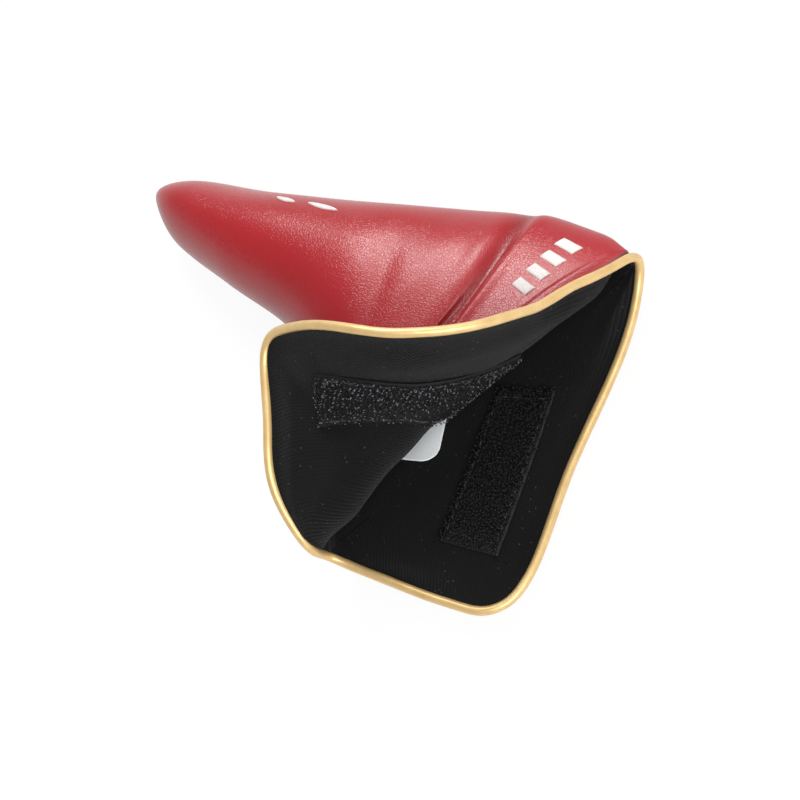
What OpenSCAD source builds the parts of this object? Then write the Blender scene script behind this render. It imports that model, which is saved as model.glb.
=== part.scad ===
// Padded leather head cover for a blade putter, lying on its back panel with the front flap folded open.
// Two L-shaped padded panels are closed along the sole, toe, topline and neck. Past the neck each panel
// ends in a free triangular flap with a piped edge; hook tape on one flap meets loop tape on the other.
// Millimetres. +Z is up, +X runs from toe to heel, and the origin lies on the flat of the back panel.

/* [Panel outline] */
// Length of the sole seam from the heel corner to the toe
sole_length = 178.4; // [170:0.1:200]
// How far the sole seam bows out near the heel
sole_bow = 6.5; // [4:0.5:10]
// Distance of the neck's top corner from the sole line
neck_height = 109.4; // [102:0.1:118]
// How far the neck's top corner leans back from the heel corner
neck_lean = 68; // [62:0.5:74]
// Distance of the throat, where neck meets topline, back from the heel corner
throat_back = 82.4; // [78:0.1:88]
// Height of the throat above the sole line
throat_height = 68; // [62:1:74]
// Height of the pocket just behind the throat
pocket_height = 45; // [41:1:50]
// Height of the toe, 40 mm from its tip
toe_height = 31.5; // [28:0.5:36]
// Height of the blunt nose seam
nose_height = 5; // [4:0.5:8]
// Free width of the front flap, from the neck line to its round corner
front_reach = 51.5; // [46:0.5:58]
// Free width of the back flap, from the neck line to its round corner
back_reach = 48.5; // [44:0.5:56]

/* [Fullness] */
// Half thickness of the stuffed pocket
pocket_half = 19; // [17.5:0.5:24]
// Half thickness at the neck, where the flaps begin
mouth_half = 15; // [12:0.5:16.5]
// Height of the seam plane above the surface the cover lies on
rest_height = 17; // [16.5:0.1:17.4]
// Depth of the crease across the neck on the front panel
crease_depth = 3; // [0:0.5:4]

/* [Padded wall] */
// Thickness of the leather
leather_t = 1.2; // [0.8:0.1:1.6]
// Thickness of the foam
foam_t = 4; // [2.5:0.5:5]
// Thickness of the knitted lining
lining_t = 0.8; // [0.6:0.1:1.2]

/* [Folds] */
// Width of the bend at the root of the front flap
front_bend = 12; // [10:1:15]
// Width of the bend at the root of the back flap
back_bend = 4; // [3:0.5:6]
// How far the front bend bows into the pocket at mid neck
bend_bow = 5; // [2:0.5:7]
// Upward tilt of the back flap
back_tilt = 3; // [1:0.5:6]

/* [Piping] */
// Diameter of the piping round the mouth
piping_d = 2.8; // [2.6:0.1:3.6]
// Diameter of the cord inside the piping
piping_cord_d = 1.6; // [1.2:0.1:1.7]

/* [Hook and loop tape] */
// Width of both tapes
tape_w = 20; // [16:1:22]
// Length of both tapes
tape_len = 54; // [46:1:58]
// Thickness of both tapes
tape_t = 1.6; // [1.2:0.1:2]
// Length of one stitch
stitch_len = 2.4; // [2:0.1:2.8]
// Spacing of the stitches
stitch_pitch = 3.4; // [3:0.1:4]

/* [Label and embroidery] */
// Width of the blank label
label_w = 20; // [16:1:22]
// Length of the blank label
label_len = 34; // [26:1:38]
// Number of bars embroidered at the heel
heel_bars = 4; // [3:1:5]
// Height of the embroidery above the leather
embroidery_t = 0.7; // [0.5:0.1:1]

/* [Hidden] */

RED = "#b0202c";
GOLD = "#d9b878";
BLACK = "#1b1b1d";
FOAM = "#d8d4c8";
WHITE = "#f2f2f0";

front = 1;
back = -1;
up = [0, 0, 1];
seat = 0.3;                       // clearance of pieces laid on curved faces
hairline = 0.05;                  // clearance of one thin layer on another
edge_gap = 0.15;                  // clearance of the piping from the free edge
heel = [98.4, 23];                // heel corner seen from the origin
neck = [-neck_lean, -neck_height];
neck_len = norm(neck);
along = neck / neck_len;          // from the heel corner to the neck corner
inward = [along[1], -along[0]];   // from the mouth into the pocket

// The two closed seams, from the mouth to the toe, seen from the heel corner.
sole_seam = [[0, 0], [-26.4, sole_bow], [-58.4, sole_bow - 1], [85 - sole_length, 3],
    [50 - sole_length, 1.5], [20 - sole_length, 1.5], [-sole_length, -4]];
top_seam = [neck, [-(neck_lean + throat_back) / 2, -(neck_height + throat_height) / 2],
    [-throat_back, -throat_height], [74 - sole_length, -pocket_height],
    [40 - sole_length, -toe_height], [14 - sole_length, -toe_height * 0.67],
    [-sole_length, -4 - nose_height]];

// The free edge of each flap: share of the neck line from the heel, and share of the flap's reach.
front_edge = [[1, 0], [0.954, 0.45], [0.868, 0.685], [0.758, 0.95], [0.64, 0.84], [0.36, 0.665],
    [0.233, 0.285], [0, 0]];
back_edge = [[1, 0], [0.935, 0.31], [0.845, 0.76], [0.777, 0.995], [0.67, 0.97], [0.44, 0.605],
    [0.162, 0.266], [0, 0]];

// Fold angle of the front flap at even steps from the heel corner to the neck corner.
front_fold = [112, 70, 90, 155, 138];

// Roundness of the section: exponent of the lens at the mouth and in the pocket.
mouth_lens = 0.4;
pocket_lens = 0.57;
fullest_at = 0.45;                // share of the way to the toe where the pocket is fullest
settled_at = 0.26;                // the same on the back panel, which lies flat on its padding
toe_taper = 2.3;
bow_fade = 0.35;                  // share of the way to the toe over which the bend's bow fades
crease_heel = 0.18;               // where the crease starts on the sole seam
crease_neck = 0.08;               // where it would reach the top seam
crease_width = 0.03;
foam_side = 0.14;                 // share of the width over which the foam thins to the seams
foam_toe = 0.25;                  // the same towards the toe
foam_rim = 0.3;                   // the same towards the free edge

// Stations of the surface grid: across the panel, then from the free edge to the toe.
COLS = 28;
crowding = 37;                    // how strongly the columns crowd towards the corners, in degrees
FLAP_ROWS = 5;
BEND_ROWS = 4;
pocket_stations = [0, 0.03, 0.06, 0.09, 0.12, 0.15, 0.18, 0.22, 0.28, 0.36, 0.46, 0.56, 0.66,
    0.75, 0.83, 0.9, 0.95, 0.98, 1];
bend_row = FLAP_ROWS;             // first row of the bend
fold_row = FLAP_ROWS + BEND_ROWS; // first row of the pocket
toe_row = fold_row + len(pocket_stations) - 1;
bag_row = toe_row - 2;            // last row of the lining's sides
flap_cols = [7, 20];              // columns that are wide enough to hold a rigid flap
foam_cols = [8, 23];
flap_foam_cols = [9, 19];
lining_cols = [2, COLS - 2];
flap_share = 0.6;                 // widest share of a narrow flap that its bend takes

function smooth(x) = let(k = min(max(x, 0), 1)) k * k * (3 - 2 * k);

// Smooth curve through evenly spaced points, x from 0 to 1.
function curve(p, x) = let(n = len(p) - 1, s = min(max(x, 0), 1) * n, i = min(floor(s), n - 1), f = s - i,
    p0 = i == 0 ? 2 * p[0] - p[1] : p[i - 1], p1 = p[i], p2 = p[i + 1],
    p3 = i + 2 > n ? 2 * p[n] - p[n - 1] : p[i + 2])
    (2 * p1 + (p2 - p0) * f + (2 * p0 - 5 * p1 + 4 * p2 - p3) * f * f
        + (3 * p1 - p0 - 3 * p2 + p3) * f * f * f) / 2;

function reach(side) = side == front ? front_reach : back_reach;
function bend_width(side) = side == front ? front_bend : back_bend;
function fold_angle(side, u) = side == front ? curve(front_fold, u) : -back_tilt;

// Free edge at column share w (0 at the neck corner, 1 at the heel corner): [share u, width].
function free_edge(side, w) = let(e = curve(side == front ? front_edge : back_edge, w))
    [e[0], max(e[1], 0) * reach(side)];
function lens(u) = max(4 * u * (1 - u), 0);
function bow(side, u) = side == front ? bend_bow * lens(u) : 0;

// Half thickness at share t of the way to the toe and share u from the sole seam to the top seam.
function half_thickness(side, t, u) = let(k = smooth(t / (side == front ? fullest_at : settled_at)),
    z = max((t - fullest_at) / (1 - fullest_at), 0),
    h = (mouth_half + (pocket_half - mouth_half) * k) * sqrt(max(1 - pow(z, toe_taper), 0)))
    h * pow(lens(u), mouth_lens + (pocket_lens - mouth_lens) * k);
function crease(t, u) = let(x = (t - crease_heel - (crease_neck - crease_heel) * u) / crease_width)
    crease_depth * exp(-x * x) * sqrt(lens(u));

// Height in the row frame of a point c above or below the seam plane, flattened where it rests.
function settle(side, c) = max(rest_height + side * c, 0);

// Point of the outer face in the pocket.
function pocket_point(side, t, u) = let(sole = curve(sole_seam, t), top = curve(top_seam, t),
    g = pow(max(1 - t / bow_fade, 0), 2), p = heel + top + (1 - u) * (sole - top) + g * bow(side, u) * inward,
    c = half_thickness(side, t, u) - (side == front ? crease(t, u) : 0))
    [p[0], p[1], settle(side, c)];

// Point of the outer face on the flap, s past the fold.
function flap_point(side, s, u) = let(phi = fold_angle(side, u), width = bend_width(side),
    r = width / (phi * PI / 180), th = phi * min(s / width, 1), rest = max(s - width, 0),
    x = r * sin(th) + rest * cos(phi), c = half_thickness(side, 0, u) + r * (1 - cos(th)) + rest * sin(phi),
    p = heel + neck * u + (bow(side, u) - x) * inward)
    [p[0], p[1], settle(side, c)];

// One point of the panel's grid, and the foam's thickness there.
function column_width(side, w) = let(e = free_edge(side, w)) e[1] + bow(side, e[0]);
function row_reach(side, i, w) = let(full = column_width(side, w),
    near = min(bend_width(side), flap_share * full))
    i <= bend_row ? near + (full - near) * (bend_row - i) / FLAP_ROWS : near * (fold_row - i) / BEND_ROWS;
function column(j) = let(x = j / COLS) x - crowding * sin(360 * x) / 360;
function station(i) = i < fold_row ? 0 : pocket_stations[i - fold_row];

// Share u of a column: the free edge's, evened out from mid pocket to the nose.
function column_u(side, i, j) = let(u = free_edge(side, column(j))[0])
    u + (1 - j / COLS - u) * smooth((station(i) - 0.5) / 0.4);
function grid_point(side, i, j) = let(u = column_u(side, i, j))
    i < fold_row ? flap_point(side, row_reach(side, i, column(j)), u) : pocket_point(side, station(i), u);
function foam_at(side, i, j) = let(w = column(j), u = column_u(side, i, j))
    foam_t * smooth(min(u, 1 - u) / foam_side)
    * (i < fold_row ? smooth((1 - row_reach(side, i, w) / max(column_width(side, w), 1)) / foam_rim)
        : smooth((1 - station(i)) / foam_toe));

function unit(v) = v / max(norm(v), 1e-9);
function grid(side) = [for (i = [0:toe_row]) [for (j = [0:COLS]) grid_point(side, i, j)]];
function foam_grid(side) = [for (i = [0:toe_row]) [for (j = [0:COLS]) foam_at(side, i, j)]];

// Outward normals of a grid. They stay in the seam plane along the closed seams and at the nose.
function normal_at(g, side, i, j) = let(i0 = max(i - 1, 0), i1 = min(i + 1, toe_row),
    j0 = max(j - 1, 0), j1 = min(j + 1, COLS), row = g[i1][j] - g[i0][j], col = g[i][j1] - g[i][j0])
    i == toe_row ? [-1, 0, 0]
    : j == 0 ? unit(cross(up, [row[0], row[1], 0]))
    : j == COLS ? unit(cross([row[0], row[1], 0], up))
    : unit(side * cross(col, row));
function normals(g, side) = [for (i = [0:toe_row]) [for (j = [0:COLS]) normal_at(g, side, i, j)]];

front_grid = grid(front);
front_normals = normals(front_grid, front);
front_foam_grid = foam_grid(front);
back_grid = grid(back);
back_normals = normals(back_grid, back);
back_foam_grid = foam_grid(back);
function panel(side) = side == front ? front_grid : back_grid;
function panel_normals(side) = side == front ? front_normals : back_normals;
function panel_foam(side) = side == front ? front_foam_grid : back_foam_grid;

// Depth below the outer face of each face between layers.
function leather_depth(side, i, j) = leather_t;
function foam_depth(side, i, j) = leather_t + panel_foam(side)[i][j];
function wall_depth(side, i, j) = foam_depth(side, i, j) + lining_t;
function depth(side, face, i, j) = face == 0 ? 0 : face == 1 ? leather_depth(side, i, j)
    : face == 2 ? foam_depth(side, i, j) : wall_depth(side, i, j);
function face_grid(side, face, rows, cols) = [for (i = [rows[0]:rows[1]]) [for (j = [cols[0]:cols[1]])
    panel(side)[i][j] - panel_normals(side)[i][j] * depth(side, face, i, j)]];

// Closed solid between two grids of equal size, outside first. Neighbours share their edge facets.
module sheet(outside, inside, flip = false) {
    rows = len(outside);
    cols = len(outside[0]);
    inner = rows * cols;
    tris = concat(
        [for (i = [0:rows - 2], j = [0:cols - 2]) let(a = i * cols + j)
            each [[a, a + cols, a + cols + 1], [a, a + cols + 1, a + 1],
                [inner + a, inner + a + cols + 1, inner + a + cols], [inner + a, inner + a + 1, inner + a + cols + 1]]],
        [for (j = [0:cols - 2]) let(b = (rows - 1) * cols + j)
            each [[j, j + 1, inner + j + 1], [j, inner + j + 1, inner + j],
                [b, inner + b + 1, b + 1], [b, inner + b, inner + b + 1]]],
        [for (i = [0:rows - 2]) let(a = i * cols, b = a + cols - 1)
            each [[a, inner + a + cols, a + cols], [a, inner + a, inner + a + cols],
                [b, b + cols, inner + b + cols], [b, inner + b + cols, inner + b]]]);
    points = concat([for (row = outside) each row], [for (row = inside) each row]);
    polyhedron(points, [for (t = tris) flip ? [t[2], t[1], t[0]] : [t[1], t[2], t[0]]], convexity = 6);
}
module layer(side, faces, rows, cols)
    sheet(face_grid(side, faces[0], rows, cols), face_grid(side, faces[1], rows, cols), side == back);

// A layer of the pocket, of the bend at the flap's root, and of the flap.
module pocket_layer(side, faces) layer(side, faces, [fold_row, toe_row], [0, COLS]);
module bend_layer(side, faces) {
    layer(side, faces, [bend_row, fold_row], flap_cols);
    layer(side, faces, [0, fold_row], [2, flap_cols[0]]);
    layer(side, faces, [0, fold_row], [flap_cols[1], COLS - 2]);
}
module flap_layer(side, faces) layer(side, faces, [0, bend_row], flap_cols);

module front_shell() color(RED) pocket_layer(front, [0, 1]);
module back_shell() color(RED) pocket_layer(back, [0, 1]);
module front_bend_shell() color(RED) bend_layer(front, [0, 1]);
module back_bend_shell() color(RED) bend_layer(back, [0, 1]);
module front_flap_shell() color(RED) flap_layer(front, [0, 1]);
module back_flap_shell() color(RED) flap_layer(back, [0, 1]);

module foam_layer(side, rows, cols) color(FOAM) layer(side, [1, 2], rows, cols);
module front_foam() foam_layer(front, [fold_row, toe_row - 3], foam_cols);
module back_foam() foam_layer(back, [fold_row, toe_row - 3], foam_cols);
module front_bend_foam() foam_layer(front, [bend_row, fold_row], flap_foam_cols);
module back_bend_foam() foam_layer(back, [bend_row, fold_row], flap_foam_cols);
module front_flap_foam() foam_layer(front, [1, bend_row], flap_foam_cols);
module back_flap_foam() foam_layer(back, [1, bend_row], flap_foam_cols);

// The lining's bag stops at the seams' allowances and short of the nose.
module pocket_lining(side) color(BLACK) layer(side, [2, 3], [fold_row, bag_row], lining_cols);
module front_lining() pocket_lining(front);
module back_lining() pocket_lining(back);
module front_bend_lining() color(BLACK) bend_layer(front, [2, 3]);
module back_bend_lining() color(BLACK) bend_layer(back, [2, 3]);
module front_flap_lining() color(BLACK) flap_layer(front, [2, 3]);
module back_flap_lining() color(BLACK) flap_layer(back, [2, 3]);

// Piping centre line: just off the free edge, at mid depth of leather and lining together.
// A path is a list of [point, direction that its rings start from]. Its first and last entries only aim it.
function edge_out(side, j) = let(g = panel(side), n = panel_normals(side)[0][j])
    unit(side * cross(g[0][min(j + 1, COLS)] - g[0][max(j - 1, 0)], n));
function piping_point(side, j) = panel(side)[0][j] - panel_normals(side)[0][j] * (leather_t + lining_t) / 2
    + edge_out(side, j) * (piping_d / 2 + edge_gap);
function rim_path(side, j0, j1) = [for (j = [j0:j1]) [piping_point(side, j), panel_normals(side)[0][j]]];

// The piping round a joined corner passes from one flap's edge to the other's.
function reversed(p) = [for (k = [len(p) - 1:-1:0]) p[k]];
function corner_nose(corner, away) = [[[corner[0] + away[0], corner[1] + away[1], rest_height], [away[0], away[1], 0]]];
nose_out = piping_d / 2 + 4 * edge_gap;
front_path = rim_path(front, flap_cols[0] - 1, flap_cols[1] + 1);
back_path = rim_path(back, flap_cols[0] - 1, flap_cols[1] + 1);
heel_path = concat(rim_path(front, flap_cols[1] - 1, COLS - 1), corner_nose(heel, -nose_out * along),
    reversed(rim_path(back, flap_cols[1] - 1, COLS - 1)));
neck_path = concat(reversed(rim_path(front, 1, flap_cols[0] + 1)), corner_nose(heel + neck, nose_out * along),
    rim_path(back, 1, flap_cols[0] + 1));

// Rings of a tube along a path, each square to it.
function ring(p, k, r, n) = let(d = unit(p[k + 1][0] - p[k - 1][0]), x = unit(p[k][1] - (p[k][1] * d) * d),
    y = cross(x, d)) [for (a = [0:n - 1]) p[k][0] + r * (x * cos(360 * a / n) + y * sin(360 * a / n))];
function rings(p, r, n) = [for (k = [1:len(p) - 2]) each ring(p, k, r, n)];
module cord(path, r, n) {
    count = len(path) - 2;
    last = (count - 1) * n;
    polyhedron(rings(path, r, n), concat(
        [for (k = [0:count - 2], a = [0:n - 1]) let(b = (a + 1) % n)
            each [[k * n + a, k * n + b, (k + 1) * n + b], [k * n + a, (k + 1) * n + b, (k + 1) * n + a]]],
        [[for (a = [n - 1:-1:0]) a], [for (a = [0:n - 1]) last + a]]), convexity = 6);
}
module tube(path, r_out, r_in, n) {
    outer = rings(path, r_out, n);
    inner = rings(path, r_in, n);
    o = len(outer);
    last = o - n;
    polyhedron(concat(outer, inner), concat(
        [for (k = [0:len(path) - 4], a = [0:n - 1]) let(b = (a + 1) % n, p = k * n + a, q = k * n + b)
            each [[p, q, q + n], [p, q + n, p + n], [o + p, o + q + n, o + q], [o + p, o + p + n, o + q + n]]],
        [for (a = [0:n - 1]) let(b = (a + 1) % n)
            each [[a, o + b, b], [a, o + a, o + b],
                [last + a, last + b, o + last + b], [last + a, o + last + b, o + last + a]]]), convexity = 6);
}
piping_sides = 12;
cord_sides = 8;
module piping_cover(path) color(GOLD) tube(path, piping_d / 2, piping_cord_d / 2 + 2 * hairline, piping_sides);
module piping_cord(path) color(WHITE) cord(path, piping_cord_d / 2, cord_sides);
module front_piping_cover() piping_cover(front_path);
module front_piping_cord() piping_cord(front_path);
module back_piping_cover() piping_cover(back_path);
module back_piping_cord() piping_cord(back_path);
module heel_piping_cover() piping_cover(heel_path);
module heel_piping_cord() piping_cord(heel_path);
module neck_piping_cover() piping_cover(neck_path);
module neck_piping_cord() piping_cord(neck_path);

// A flap's outer face as a function of distance along the neck line and reach past the fold.
function flap_at(side, q) = flap_point(side, q[1], q[0] / neck_len);
function flap_normal(side, q) = unit(side * cross(flap_at(side, q + [-1, 0]) - flap_at(side, q + [1, 0]),
    flap_at(side, q + [0, -1]) - flap_at(side, q + [0, 1])));
function on_lining(side, q, lift) = flap_at(side, q)
    - flap_normal(side, q) * (leather_t + foam_t + lining_t + seat + lift);

// The tapes run along the heel-side edges. Their inner ends are cut off along the bend.
tape_mid = [72.3, 17.5];
tape_angle = 32;
tape_trim = 0.8;
tape_dir = [cos(tape_angle), sin(tape_angle)];
tape_across = [-sin(tape_angle), cos(tape_angle)];
function tape_corner(side, x, y) = let(q = tape_mid + tape_dir * x * tape_len / 2 + tape_across * y * tape_w / 2,
    root = (side == front ? front_bend : 0) + tape_trim) q + tape_dir * max(root - q[1], 0) / tape_dir[1];
function tape_at(side, x, y) = let(k = (x + 1) / 2, m = (y + 1) / 2)
    (1 - m) * ((1 - k) * tape_corner(side, -1, -1) + k * tape_corner(side, 1, -1))
    + m * ((1 - k) * tape_corner(side, -1, 1) + k * tape_corner(side, 1, 1));
tape_cells = [8, 4];
function tape_face(side, lift) = [for (i = [0:tape_cells[0]]) [for (j = [0:tape_cells[1]])
    on_lining(side, tape_at(side, 2 * i / tape_cells[0] - 1, 2 * j / tape_cells[1] - 1), lift)]];
module tape(side) color(BLACK) sheet(tape_face(side, 0), tape_face(side, tape_t), side == front);
module hook_tape() tape(front);
module loop_tape() tape(back);

// One row of stitches between two points of a tape, lying on its face.
module stitch(a, b, n) {
    d = unit(b - a);
    side = unit(cross(d, n)) * stitch_r;
    deck = [for (p = [a, b]) each [p + side, p - side]];
    roof = [for (p = [a, b]) each [p + side + n * stitch_r, p - side + n * stitch_r]];
    polyhedron(concat(deck, roof), [[0, 2, 3, 1], [4, 5, 7, 6], [0, 1, 5, 4], [2, 6, 7, 3], [0, 4, 6, 2],
        [1, 3, 7, 5]]);
}
stitch_r = 0.4;
stitch_inset = 0.84;              // share of the half tape at which the stitches run
module stitch_row(side, from, to) {
    a = tape_at(side, from[0], from[1]);
    b = tape_at(side, to[0], to[1]);
    count = floor(norm(b - a) / stitch_pitch);
    for (k = [0:count - 1]) {
        p = a + (b - a) * (k + 0.2) / count;
        q = p + unit(b - a) * stitch_len;
        stitch(on_lining(side, p, tape_t + 3 * hairline), on_lining(side, q, tape_t + 3 * hairline),
            -flap_normal(side, p));
    }
}
module tape_stitches(side) color(BLACK) {
    s = stitch_inset;
    stitch_row(side, [-s, -s], [s, -s]);
    stitch_row(side, [s, -s], [s, s]);
    stitch_row(side, [s, s], [-s, s]);
    stitch_row(side, [-s, s], [-s, -s]);
}
module hook_tape_stitches() tape_stitches(front);
module loop_tape_stitches() tape_stitches(back);

// A patch lying on the pocket: q holds shares [t, u], lift is above the outer face or below it.
function pocket_at(side, q) = pocket_point(side, q[0], q[1]);
function pocket_normal(side, q) = unit(side * cross(pocket_at(side, q + [0, -0.01]) - pocket_at(side, q + [0, 0.01]),
    pocket_at(side, q + [0.01, 0]) - pocket_at(side, q + [-0.01, 0])));
function lifted(side, q, lift) = pocket_at(side, q) + pocket_normal(side, q) * lift;
function patch_face(side, corners, cells, lift) = [for (i = [0:cells[0]]) [for (j = [0:cells[1]])
    let(k = i / cells[0], m = j / cells[1])
    lifted(side, (1 - m) * ((1 - k) * corners[0] + k * corners[1])
        + m * ((1 - k) * corners[3] + k * corners[2]), lift)]];
module patch(side, corners, cells, low, high)
    sheet(patch_face(side, corners, cells, high), patch_face(side, corners, cells, low), side == back);

// Blank woven label, sewn to the back lining and pointing out of the mouth.
label_t = 0.4;
label_at = [0.003, 0.647];        // shares [t, u] of its free corner on the heel side
label_across = [0.0069, 0.0080];  // shares for each millimetre of its width
label_inward = [0.0051, -0.0042]; // and of its length
wall_t = leather_t + foam_t + lining_t;
function label_point(across, deep) = label_at + label_across * label_w * across
    + label_inward * label_len * deep;
label_corners = [label_point(1, 0), label_point(1, 1), label_point(0, 1), label_point(0, 0)];
module care_label() color(WHITE) patch(back, label_corners, [8, 5], -wall_t - seat - label_t, -wall_t - seat);
module label_stitches() color(WHITE) {
    count = floor(label_w / stitch_pitch);
    for (k = [0:count - 1]) {
        q = label_point(0.05 + 0.9 * k / count, 0.93);
        lift = -wall_t - seat - label_t - 4 * hairline;
        a = lifted(back, q, lift);
        b = lifted(back, q + label_across * stitch_len, lift);
        stitch(a, a + unit(b - a) * stitch_len, -pocket_normal(back, q));
    }
}

// Raised satin-stitch bars between the crease and the heel, running along the crease.
bar_u = [0.07, 0.27];
bar_t = [0.045, 0.095];
bar_slant = -0.16;
bar_fill = 0.6;
module heel_embroidery() color(WHITE)
    for (k = [0:heel_bars - 1]) {
        step = (bar_u[1] - bar_u[0]) / heel_bars;
        u0 = bar_u[0] + step * k;
        u1 = u0 + step * bar_fill;
        shift = bar_slant * (u0 - bar_u[0]);
        patch(front, [[bar_t[0] + shift, u1], [bar_t[1] + shift, u1], [bar_t[1] + shift, u0],
            [bar_t[0] + shift, u0]], [4, 1], seat, seat + embroidery_t);
    }

// Two slim raised darts along the sole side of the pocket.
dart_u = 0.19;
darts = [[0.50, 0.56], [0.58, 0.62]];
dart_w = 0.035;
module sole_embroidery() color(WHITE)
    for (d = darts)
        patch(front, [[d[0], dart_u + dart_w], [d[1], dart_u + dart_w / 2], [d[1], dart_u - dart_w / 2],
            [d[0], dart_u]], [3, 1], seat, seat + embroidery_t);

front_shell();
back_shell();
front_foam();
back_foam();
front_lining();
back_lining();
front_bend_shell();
front_bend_foam();
front_bend_lining();
back_bend_shell();
back_bend_foam();
back_bend_lining();
front_flap_shell();
front_flap_foam();
front_flap_lining();
back_flap_shell();
back_flap_foam();
back_flap_lining();
front_piping_cover();
front_piping_cord();
back_piping_cover();
back_piping_cord();
heel_piping_cover();
heel_piping_cord();
neck_piping_cover();
neck_piping_cord();
hook_tape();
hook_tape_stitches();
loop_tape();
loop_tape_stitches();
care_label();
label_stitches();
heel_embroidery();
sole_embroidery();
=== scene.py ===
"""The looks of a padded leather head cover for a blade putter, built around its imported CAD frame.

The cover is two padded panels, front and back, closed along the sole seam, the nose and the top seam. Past
the neck each panel ends in a free flap. A panel is one surface of two parameters. The column w runs from the
neck corner (0) to the heel corner (1). The row q runs from the piped free edge (-1) over the fold (0) to the
nose (1). In the pocket the row is also the share t of the way to the nose, and the column is turned into u,
the share of the way up from the sole seam, or along the neck line from the heel. Leather, lining, piping,
tapes, label and embroidery are all placed on that surface. Lengths are in millimetres until a mesh is made,
in the CAD's own frame.
"""

from __future__ import annotations

import logging
import math
from dataclasses import dataclass, field
from enum import Enum
from functools import partial

import bpy
import numpy as np
from mathutils import Matrix, Vector

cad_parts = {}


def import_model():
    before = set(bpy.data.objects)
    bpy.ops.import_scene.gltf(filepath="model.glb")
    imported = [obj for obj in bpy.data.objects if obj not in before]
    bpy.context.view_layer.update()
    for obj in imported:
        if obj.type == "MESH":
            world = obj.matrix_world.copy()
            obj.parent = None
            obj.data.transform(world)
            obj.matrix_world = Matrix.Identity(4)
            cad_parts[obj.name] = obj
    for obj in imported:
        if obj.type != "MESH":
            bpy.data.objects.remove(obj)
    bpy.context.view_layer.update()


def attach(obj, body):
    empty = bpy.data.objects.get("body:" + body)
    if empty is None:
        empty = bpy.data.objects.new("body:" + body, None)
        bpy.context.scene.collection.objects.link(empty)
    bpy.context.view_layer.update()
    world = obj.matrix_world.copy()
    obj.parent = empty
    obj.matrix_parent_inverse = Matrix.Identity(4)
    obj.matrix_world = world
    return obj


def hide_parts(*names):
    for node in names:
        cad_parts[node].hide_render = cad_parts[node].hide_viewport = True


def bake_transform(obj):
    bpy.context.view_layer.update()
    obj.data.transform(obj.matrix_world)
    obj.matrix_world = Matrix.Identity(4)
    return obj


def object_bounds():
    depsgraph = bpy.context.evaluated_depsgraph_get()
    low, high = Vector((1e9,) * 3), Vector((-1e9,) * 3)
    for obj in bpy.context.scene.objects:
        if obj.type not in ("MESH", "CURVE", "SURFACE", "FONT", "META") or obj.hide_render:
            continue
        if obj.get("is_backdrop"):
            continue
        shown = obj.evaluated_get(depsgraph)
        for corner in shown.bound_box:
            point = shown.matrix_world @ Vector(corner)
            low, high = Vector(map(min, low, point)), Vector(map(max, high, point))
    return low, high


log = logging.getLogger("head_cover")
Array = np.ndarray
Piece = bpy.types.Object
Materials = dict[str, bpy.types.Material]
MM = 0.001
UP = np.array([0.0, 0.0, 1.0])
# From the plain inner face to what is sewn on the lining, in millimetres.
SEWN_GAP = 0.3


class Side(Enum):
    """The two panels. The value is the sign of the side of the seam plane that the panel lies on."""

    FRONT = 1
    BACK = -1

    @property
    def label(self) -> str:
        """Word that the names of this panel's nodes and pieces start with."""
        return self.name.lower()

    @property
    def flap(self) -> str:
        """Name of the CAD body that this panel's flap rides on."""
        return f"{self.label}_flap"


# ---------------------------------------------------------------- plain mathematics


def smooth(x: Array) -> Array:
    """Eased step: 3x^2 - 2x^3 between 0 and 1, flat outside."""
    k = np.clip(x, 0.0, 1.0)
    return k * k * (3.0 - 2.0 * k)


def bell(x: Array) -> Array:
    """Bell curve exp(-x^2)."""
    return np.exp(-np.square(x))


def lens(u: Array) -> Array:
    """Fullness between two seams: 4u(1-u), which is 1 midway and 0 at both."""
    return np.maximum(4 * u * (1 - u), 0)


def unit(v: Array) -> Array:
    """Vectors of the last axis divided by their lengths."""
    return v / np.maximum(np.linalg.norm(v, axis=-1, keepdims=True), 1e-9)


def fading(points: Array, place: Array, radius: float) -> Array:
    """Share that fades with the distance from a place, bell(distance / radius), with a last axis of one."""
    return bell(np.linalg.norm(points - place, axis=-1) / radius)[..., None]


def crowded(x: Array, k: float) -> Array:
    """Shares closer together towards both ends: x - k sin(2 pi x) / (2 pi)."""
    return x - k * np.sin(2 * math.pi * x) / (2 * math.pi)


def between(x: Array, known: Array, values: Array) -> Array:
    """Rows of values at places x, along straight lines between the known places."""
    return np.stack([np.interp(x, known, values[:, k]) for k in range(values.shape[1])], -1)


def curve(points: Array, x: Array) -> Array:
    """Catmull-Rom curve through evenly spaced points, its ends extended by reflection.

    Args:
        points: (n, k) or (n,) control points.
        x: share of the way along, any shape.

    Returns:
        Values at x, with a last axis of k where the points have one.
    """
    p = np.asarray(points, float)
    flat = p.ndim == 1
    p = p[:, None] if flat else p
    p = np.concatenate([2 * p[:1] - p[1:2], p, 2 * p[-1:] - p[-2:-1]])
    s = np.clip(x, 0.0, 1.0) * (len(p) - 3)
    i = np.minimum(s.astype(int), len(p) - 4)
    f = (s - i)[..., None]
    a, b, c, d = p[i], p[i + 1], p[i + 2], p[i + 3]
    out = (2 * b + (c - a) * f + (2 * a - 5 * b + 4 * c - d) * f**2 + (3 * b - a - 3 * c + d) * f**3) / 2
    return out[..., 0] if flat else out


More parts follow.
